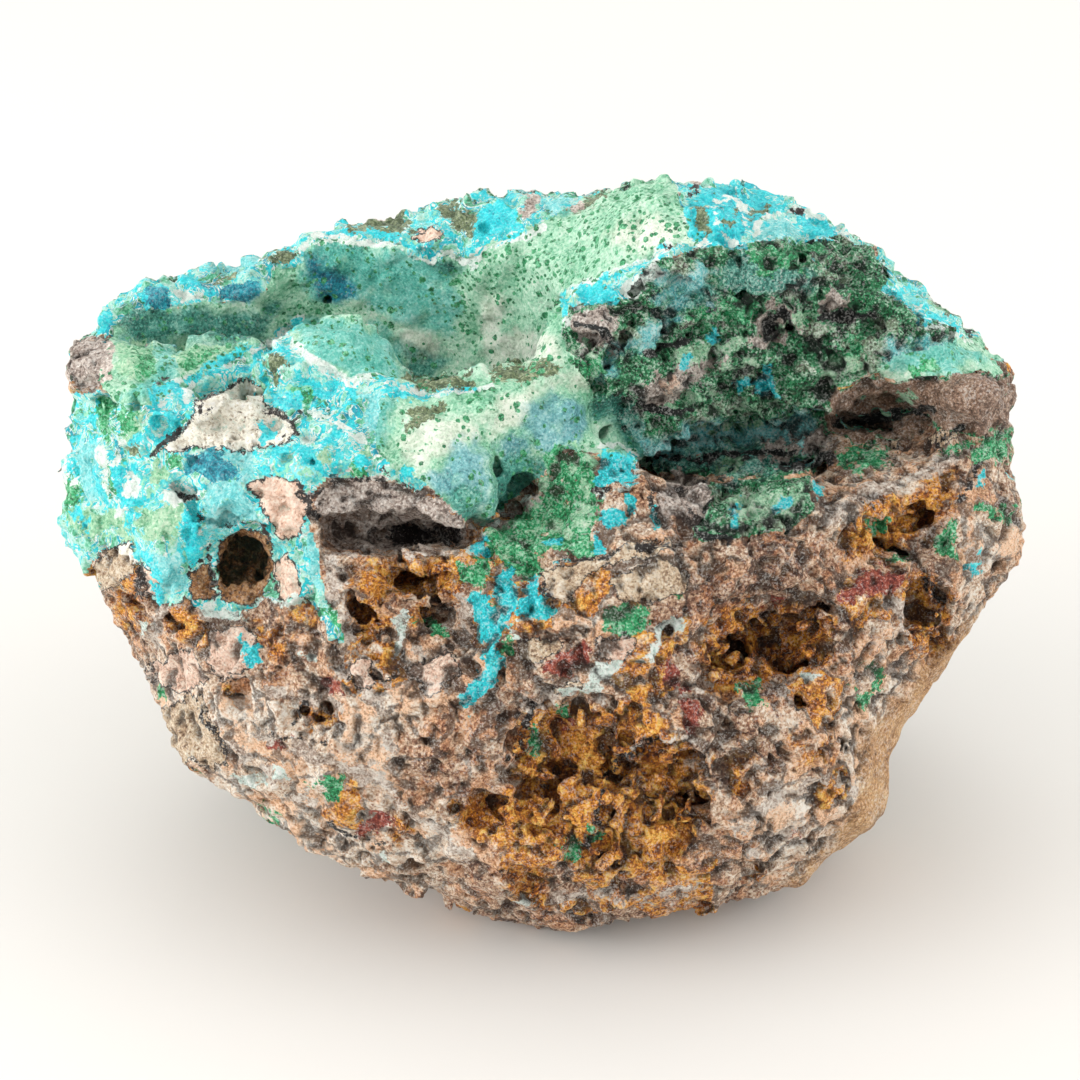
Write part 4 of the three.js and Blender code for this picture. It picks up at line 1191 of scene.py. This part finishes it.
def matrix():
    """Brown breccia: clasts of several browns with dark seams, in a porous ground, with ochre and stray
    minerals."""
    make = Shader("matrix")
    grain, fray = make.grains(0.28), make.noise(2.0, 5, 0.7)
    clast = make.plus(make.depth("clast"), make.gain(fray, 1.5), 0.7)
    tone = make.plus(make.times(grain, 0.54), make.gain(make.noise(1.1, 6, 0.8, 0.4), 2.8), 0.36)
    tone = make.plus(tone, clast, 0.16)
    tone = make.plus(tone, make.centred(make.depth("lump")), 0.10)
    for kind, rise in (("pale", 0.18), ("mauve", -0.05)):
        tone = make.plus(tone, make.between(make.depth(kind), -3, 3), rise)
    colour = make.ramp(tone, ROCK)
    browner = make.plus(make.noise(4.0), make.centred(make.depth("clast")), 0.15)
    colour = make.mix(make.times(make.between(browner, 0.44, 0.58), 0.7), colour, WARMTH, "MULTIPLY")
    seam = make.between(make.plus(make.depth("clast_edge"), make.centred(fray), 1.6), 0.3, 0.1)
    colour = make.mix(make.times(seam, 0.7), colour, SEAM)
    rusty_clast = make.plus(-5.0, make.between(make.depth("clast"), 0.88, 0.90), 6.0)
    rusty = make.plus(make.math("MAXIMUM", make.depth("ochre"), rusty_clast), make.centred(fray), 11.0)
    rust = make.plus(make.times(grain, 0.42), make.gain(make.noise(1.3, 6, 0.75, 0.4), 3.0), 0.50)
    rust = make.plus(rust, clast, 0.06)
    colour = make.mix(make.between(rusty, -0.9, 0.9), colour, make.ramp(rust, OCHRE))
    weathered = make.plus(make.times(grain, 0.5), make.gain(make.noise(5.0, 4), 1.6), 0.5)
    colour = make.cover(colour, "worn", make.ramp(weathered, WORN), fray, reach=5.0, soft=1.0)
    colour = lay_patches(make, colour, grain, fray, [
        ("malachite", MALACHITE, 7.0), ("mint", MINT, 8.0), ("red", RED, 8.0), ("chalk", CHALK, 9.0),
        ("smoky", SMOKY, 6.0), ("rosy", ROSY, 4.0, DARK_LINE_AND_SHADE), ("beige", SAND, 4.5, DARK_LINE_AND_SHADE), ("white", WHITE, 4.0),
        ("turquoise", TURQUOISE, 5.0)])
    colour = draw_cracks_and_shade(make, colour)
    # Painted shade inside the pores, which are also sunk a little into the mesh.
    colour = make.mix(make.times(make.depth("pore"), 0.8), colour, PORE_SHADE)
    colour = season(make, colour, share=0.5, tint=(132, 96, 78))
    colour = shadow_dips(make, colour, dip_shade=(214, 190, 170), deep_shade=(120, 90, 70))
    return make.finish(colour, rough=0.7, rise=1.0)


def crust():
    """Chrysocolla: mint, pale and aqua lumps, with curling turquoise bands edged in white."""
    make = Shader("chrysocolla")
    grain, fray = make.grains(0.28), make.noise(1.6, 5, 0.68, 0.5)
    body = make.plus(make.gain(make.noise(5.0), 2.0), make.centred(grain), 0.35)
    body = make.plus(body, make.centred(make.depth("lump")), 0.25)
    colour = make.ramp(body, CRUST)
    band = make.math("ABSOLUTE", make.centred(make.noise(3.4, 3, 0.55, 1.2)))
    rim = make.plus(band, make.centred(fray), 0.16)
    ribbon = make.plus(band, make.centred(make.noise(1.2)), 0.10)
    colour = make.mix(make.between(rim, 0.054, 0.040), colour, make.ramp(grain, WHITE))
    colour = make.mix(make.between(ribbon, 0.036, 0.026), colour, make.ramp(body, TURQUOISE))
    # The darkest green patches are painted shade in hollows, and the teal ones partly so.
    colour = lay_patches(make, colour, grain, fray, [
        ("aqua", SKY, 7.0), ("dusk", SHADE_GREENS, 5.0), ("mint", MINT, 7.0), ("malachite", MALACHITE, 7.0),
        ("smoky", SMOKY, 4.0), ("rosy", ROSY, 3.0, DARK_LINE_AND_SHADE), ("beige", BEIGE, 3.5, DARK_LINE_AND_SHADE), ("ochre", PIT, 3.0, DARK_LINE_AND_SHADE),
        ("turquoise", TURQUOISE, 5.0), ("olive", OLIVE, 5.0), ("white", WHITE, 5.0), ("teal", TEAL, 4.0)])
    colour = draw_cracks_and_shade(make, colour)
    colour = season(make, colour, share=0.22)
    colour = shadow_dips(make, colour, dip_shade=(186, 216, 214), deep_shade=(84, 128, 130))
    return make.finish(colour, rough=0.55, rise=0.7)


def lining():
    """Hemimorphite: sugary pale green and aqua, with blue and cream lobes and specks of malachite."""
    make = Shader("hemimorphite")
    grain, fray = make.grains(0.26), make.noise(3.0, 4, 0.6)
    shade = make.plus(make.times(grain, 0.55), make.gain(make.noise(5.0), 2.2), 0.45)
    colour = make.ramp(shade, PALE_GREEN)
    # The last two are painted shade in the vug's hollows, the teal partly the mineral's own colour.
    for kind, stops in (("aqua", AQUA), ("cream", CREAM), ("blue", BLUE), ("teal", TEAL), ("dusk", SHADE_GREENS)):
        colour = make.cover(colour, kind, make.ramp(shade, stops), fray, reach=5.0, soft=0.9)
    crisp = make.noise(1.6, 5, 0.68, 0.5)
    colour = lay_patches(make, colour, grain, crisp, [
        ("olive", OLIVE, 5.0), ("mint", MINT, 4.0), ("smoky", SMOKY, 3.0), ("white", WHITE, 2.0),
        ("turquoise", TURQUOISE, 4.0), ("malachite", MALACHITE, 6.0)])
    dense = make.plus(fray, make.between(make.depth("specked"), -1.2, 1.5), 0.34)
    for size in (1.3, 0.75):
        inside, chance = make.dots(size, 0.34, 0.5)
        chosen = make.between(make.plus(dense, chance, 0.6), 0.91, 0.93)
        speck = make.times(make.between(inside, -0.02, 0.04), chosen)
        colour = make.mix(speck, colour, make.ramp(grain, SPECK))
    colour = draw_cracks_and_shade(make, colour)
    colour = season(make, colour, share=0.22)
    colour = shadow_dips(make, colour, dip_shade=(204, 234, 224), deep_shade=(130, 186, 184))
    return make.finish(colour, rough=0.5, rise=0.6)


def druse():
    """Malachite druse: dark sparkling green, with smoky patches and a brown ledge."""
    make = Shader("malachite")
    grain, fray = make.grains(0.27), make.noise(2.2, 5, 0.7)
    shade = make.plus(make.times(grain, 0.74), make.gain(make.noise(3.0, 5, 0.7), 2.6), 0.30)
    colour = make.ramp(shade, DRUSE)
    brown = make.between(make.noise(5.0, 4, 0.7), 0.54, 0.60)
    colour = make.mix(make.times(brown, 0.4), colour, make.ramp(shade, SMOKY))
    # The first two are painted shade under the druse's overhangs and in its crevices; blue and aqua are its
    # own pale bands.
    for kind, stops in (("dusk", SHADE_GREENS), ("teal", SHADE_GREENS), ("blue", BLUE), ("aqua", SKY)):
        colour = make.cover(colour, kind, make.ramp(shade, stops), fray, reach=5.0, soft=0.85)
    colour = lay_patches(make, colour, grain, fray, [
        ("ledge", LEDGE, 3.0), ("smoky", SMOKY, 8.0), ("malachite", MALACHITE, 8.0), ("mint", MINT, 7.0),
        ("rosy", ROSY, 5.0), ("white", WHITE, 4.0), ("turquoise", TURQUOISE, 4.0)])
    # Dark cracks, and painted shade in the crevices under the druse and its ledge.
    colour = make.cover(colour, "dark_lines_and_shade", DRUSE_DARK_LINE_AND_SHADE, fray, reach=1.6)
    # Painted shade inside the pores, which are also sunk a little into the mesh.
    colour = make.mix(make.times(make.depth("pore"), 0.9), colour, DRUSE_PORE_SHADE)
    colour = season(make, colour, share=0.6)
    colour = shadow_dips(make, colour, dip_shade=(186, 196, 188), deep_shade=(112, 130, 124))
    return make.finish(colour, rough=0.42, rise=1.2)


def blurred_depth(rock, points, step, spread):
    """How far each point lies in a dip, in mm: the rock's blurred distance is negative there.
    The blur is `spread` mm wide, on every `step`th place of the grid."""
    coarse = rock.values[::step, ::step, ::step]
    blurred = blur(coarse, spread / VOXEL / step)
    index = np.rint((np.rint(points / VOXEL) - rock.low) / step).astype(int)
    i, j, k = np.clip(index, 0, np.array(blurred.shape) - 1).T
    return -blurred[i, j, k]


def main_body(points, triangles, quads):
    """The faces that hang together with the most points: loose crumbs are left out."""
    corners = np.concatenate([triangles, triangles[:, :1]], axis=1)
    corners = np.concatenate([corners, quads])
    body = np.arange(len(points))
    while True:
        least = np.min(body[corners], axis=1)
        joined = body.copy()
        for corner in corners.T:
            np.minimum.at(joined, body[corner], least)
            np.minimum.at(joined, corner, least)
        joined = joined[joined]
        if np.array_equal(joined, body):
            break
        body = joined
    main = np.bincount(body).argmax()
    return triangles[body[triangles[:, 0]] == main], quads[body[quads[:, 0]] == main]


def shape_rock(solid):
    """The sculpted rock's mesh, with each point's mineral and its depth into zones and patches."""
    rock = Rock(solid)
    sculpt(rock)
    add_texture(rock)
    points, triangles, quads = rock.mesh()
    triangles, quads = main_body(points, triangles, quads)
    normals = rock.outward(points)
    found = features(rock, points, normals)
    grounds = ground(found)
    # How deep each point lies in a small dip and in a deep hollow; the materials paint shade there.
    found["hollow"] = blurred_depth(rock, points, 1, DIP_BLUR)
    found["deep"] = blurred_depth(rock, points, 2, DEEP_BLUR)
    found.update(cell_pattern(points))
    owners = parts(points, grounds, found)
    return roughen(points, normals, grounds, found), triangles, quads, owners, found


# The studio, in Blender's metres. Each lamp has a place, a width and a power in watts.
FLOOR_REACH = 1.5
FLOOR_COLOUR = (0.655, 0.64, 0.615, 1)
STUDIO_COLOUR = (1.0, 0.99, 0.97, 1)
STUDIO_STRENGTH = 1.22
LAMP_AIM = Vector((0, 0, 0.04))
LAMPS = {
    "key": ((-0.05, 0.30, 0.80), 0.5, 0.8),
    "left": ((-0.8, -0.22, 0.2), 0.8, 8.5),
    "right": ((0.8, -0.15, 0.2), 0.8, 5.0),
}


def look_from_photo():
    """Puts the camera where the photograph's stood."""
    camera = add("camera", bpy.data.cameras.new("camera"))
    camera.location = Vector(EYE * MM)
    camera.rotation_euler = (math.pi / 2 - TILT, 0, 0)
    camera.data.sensor_width = SENSOR
    camera.data.lens = SENSOR * DISTANCE / (PHOTO_SIZE * PIXEL)
    camera.data.clip_start = 0.01
    camera.data.clip_end = 5
    bpy.context.scene.camera = camera


def light(name, place, size, power):
    """A round soft lamp that shines on the rock."""
    lamp = bpy.data.lights.new(name, "AREA")
    lamp.shape = "DISK"
    lamp.size = size
    lamp.energy = power
    holder = add(name, lamp)
    holder.location = place
    holder.rotation_euler = (LAMP_AIM - Vector(place)).to_track_quat("-Z", "Y").to_euler()


def make_stage():
    """The pale floor and the soft light."""
    mesh = bpy.data.meshes.new("floor")
    corners = [(x * FLOOR_REACH, y * FLOOR_REACH, 0) for x, y in ((-1, -1), (1, -1), (1, 1), (-1, 1))]
    mesh.from_pydata(corners, [], [(0, 1, 2, 3)])
    floor = add("floor", mesh)
    paper = bpy.data.materials.new("paper")
    paper.use_nodes = True
    shader = paper.node_tree.nodes["Principled BSDF"]
    shader.inputs["Base Color"].default_value = FLOOR_COLOUR
    shader.inputs["Roughness"].default_value = 0.8
    mesh.materials.append(paper)
    world = bpy.data.worlds.new("studio")
    world.use_nodes = True
    world.node_tree.nodes["Background"].inputs["Color"].default_value = STUDIO_COLOUR
    world.node_tree.nodes["Background"].inputs["Strength"].default_value = STUDIO_STRENGTH
    bpy.context.scene.world = world
    bpy.context.scene.view_settings.view_transform = "Standard"
    for name, settings in LAMPS.items():
        light(name, *settings)


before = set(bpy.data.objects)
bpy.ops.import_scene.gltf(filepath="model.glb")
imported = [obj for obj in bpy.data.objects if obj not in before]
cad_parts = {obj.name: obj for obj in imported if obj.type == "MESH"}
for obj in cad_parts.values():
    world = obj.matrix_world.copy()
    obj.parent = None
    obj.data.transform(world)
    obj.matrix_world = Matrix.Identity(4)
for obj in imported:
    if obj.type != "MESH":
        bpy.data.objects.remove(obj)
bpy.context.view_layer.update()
pieces = split(*shape_rock(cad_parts["specimen"]))
materials = dict(zip(MINERALS, (matrix(), crust(), lining(), druse())))
for name, piece in pieces.items():
    piece.data.materials.append(materials[PIECES[name]])
    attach(piece, "root")
    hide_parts("specimen")
look_from_photo()
make_stage()
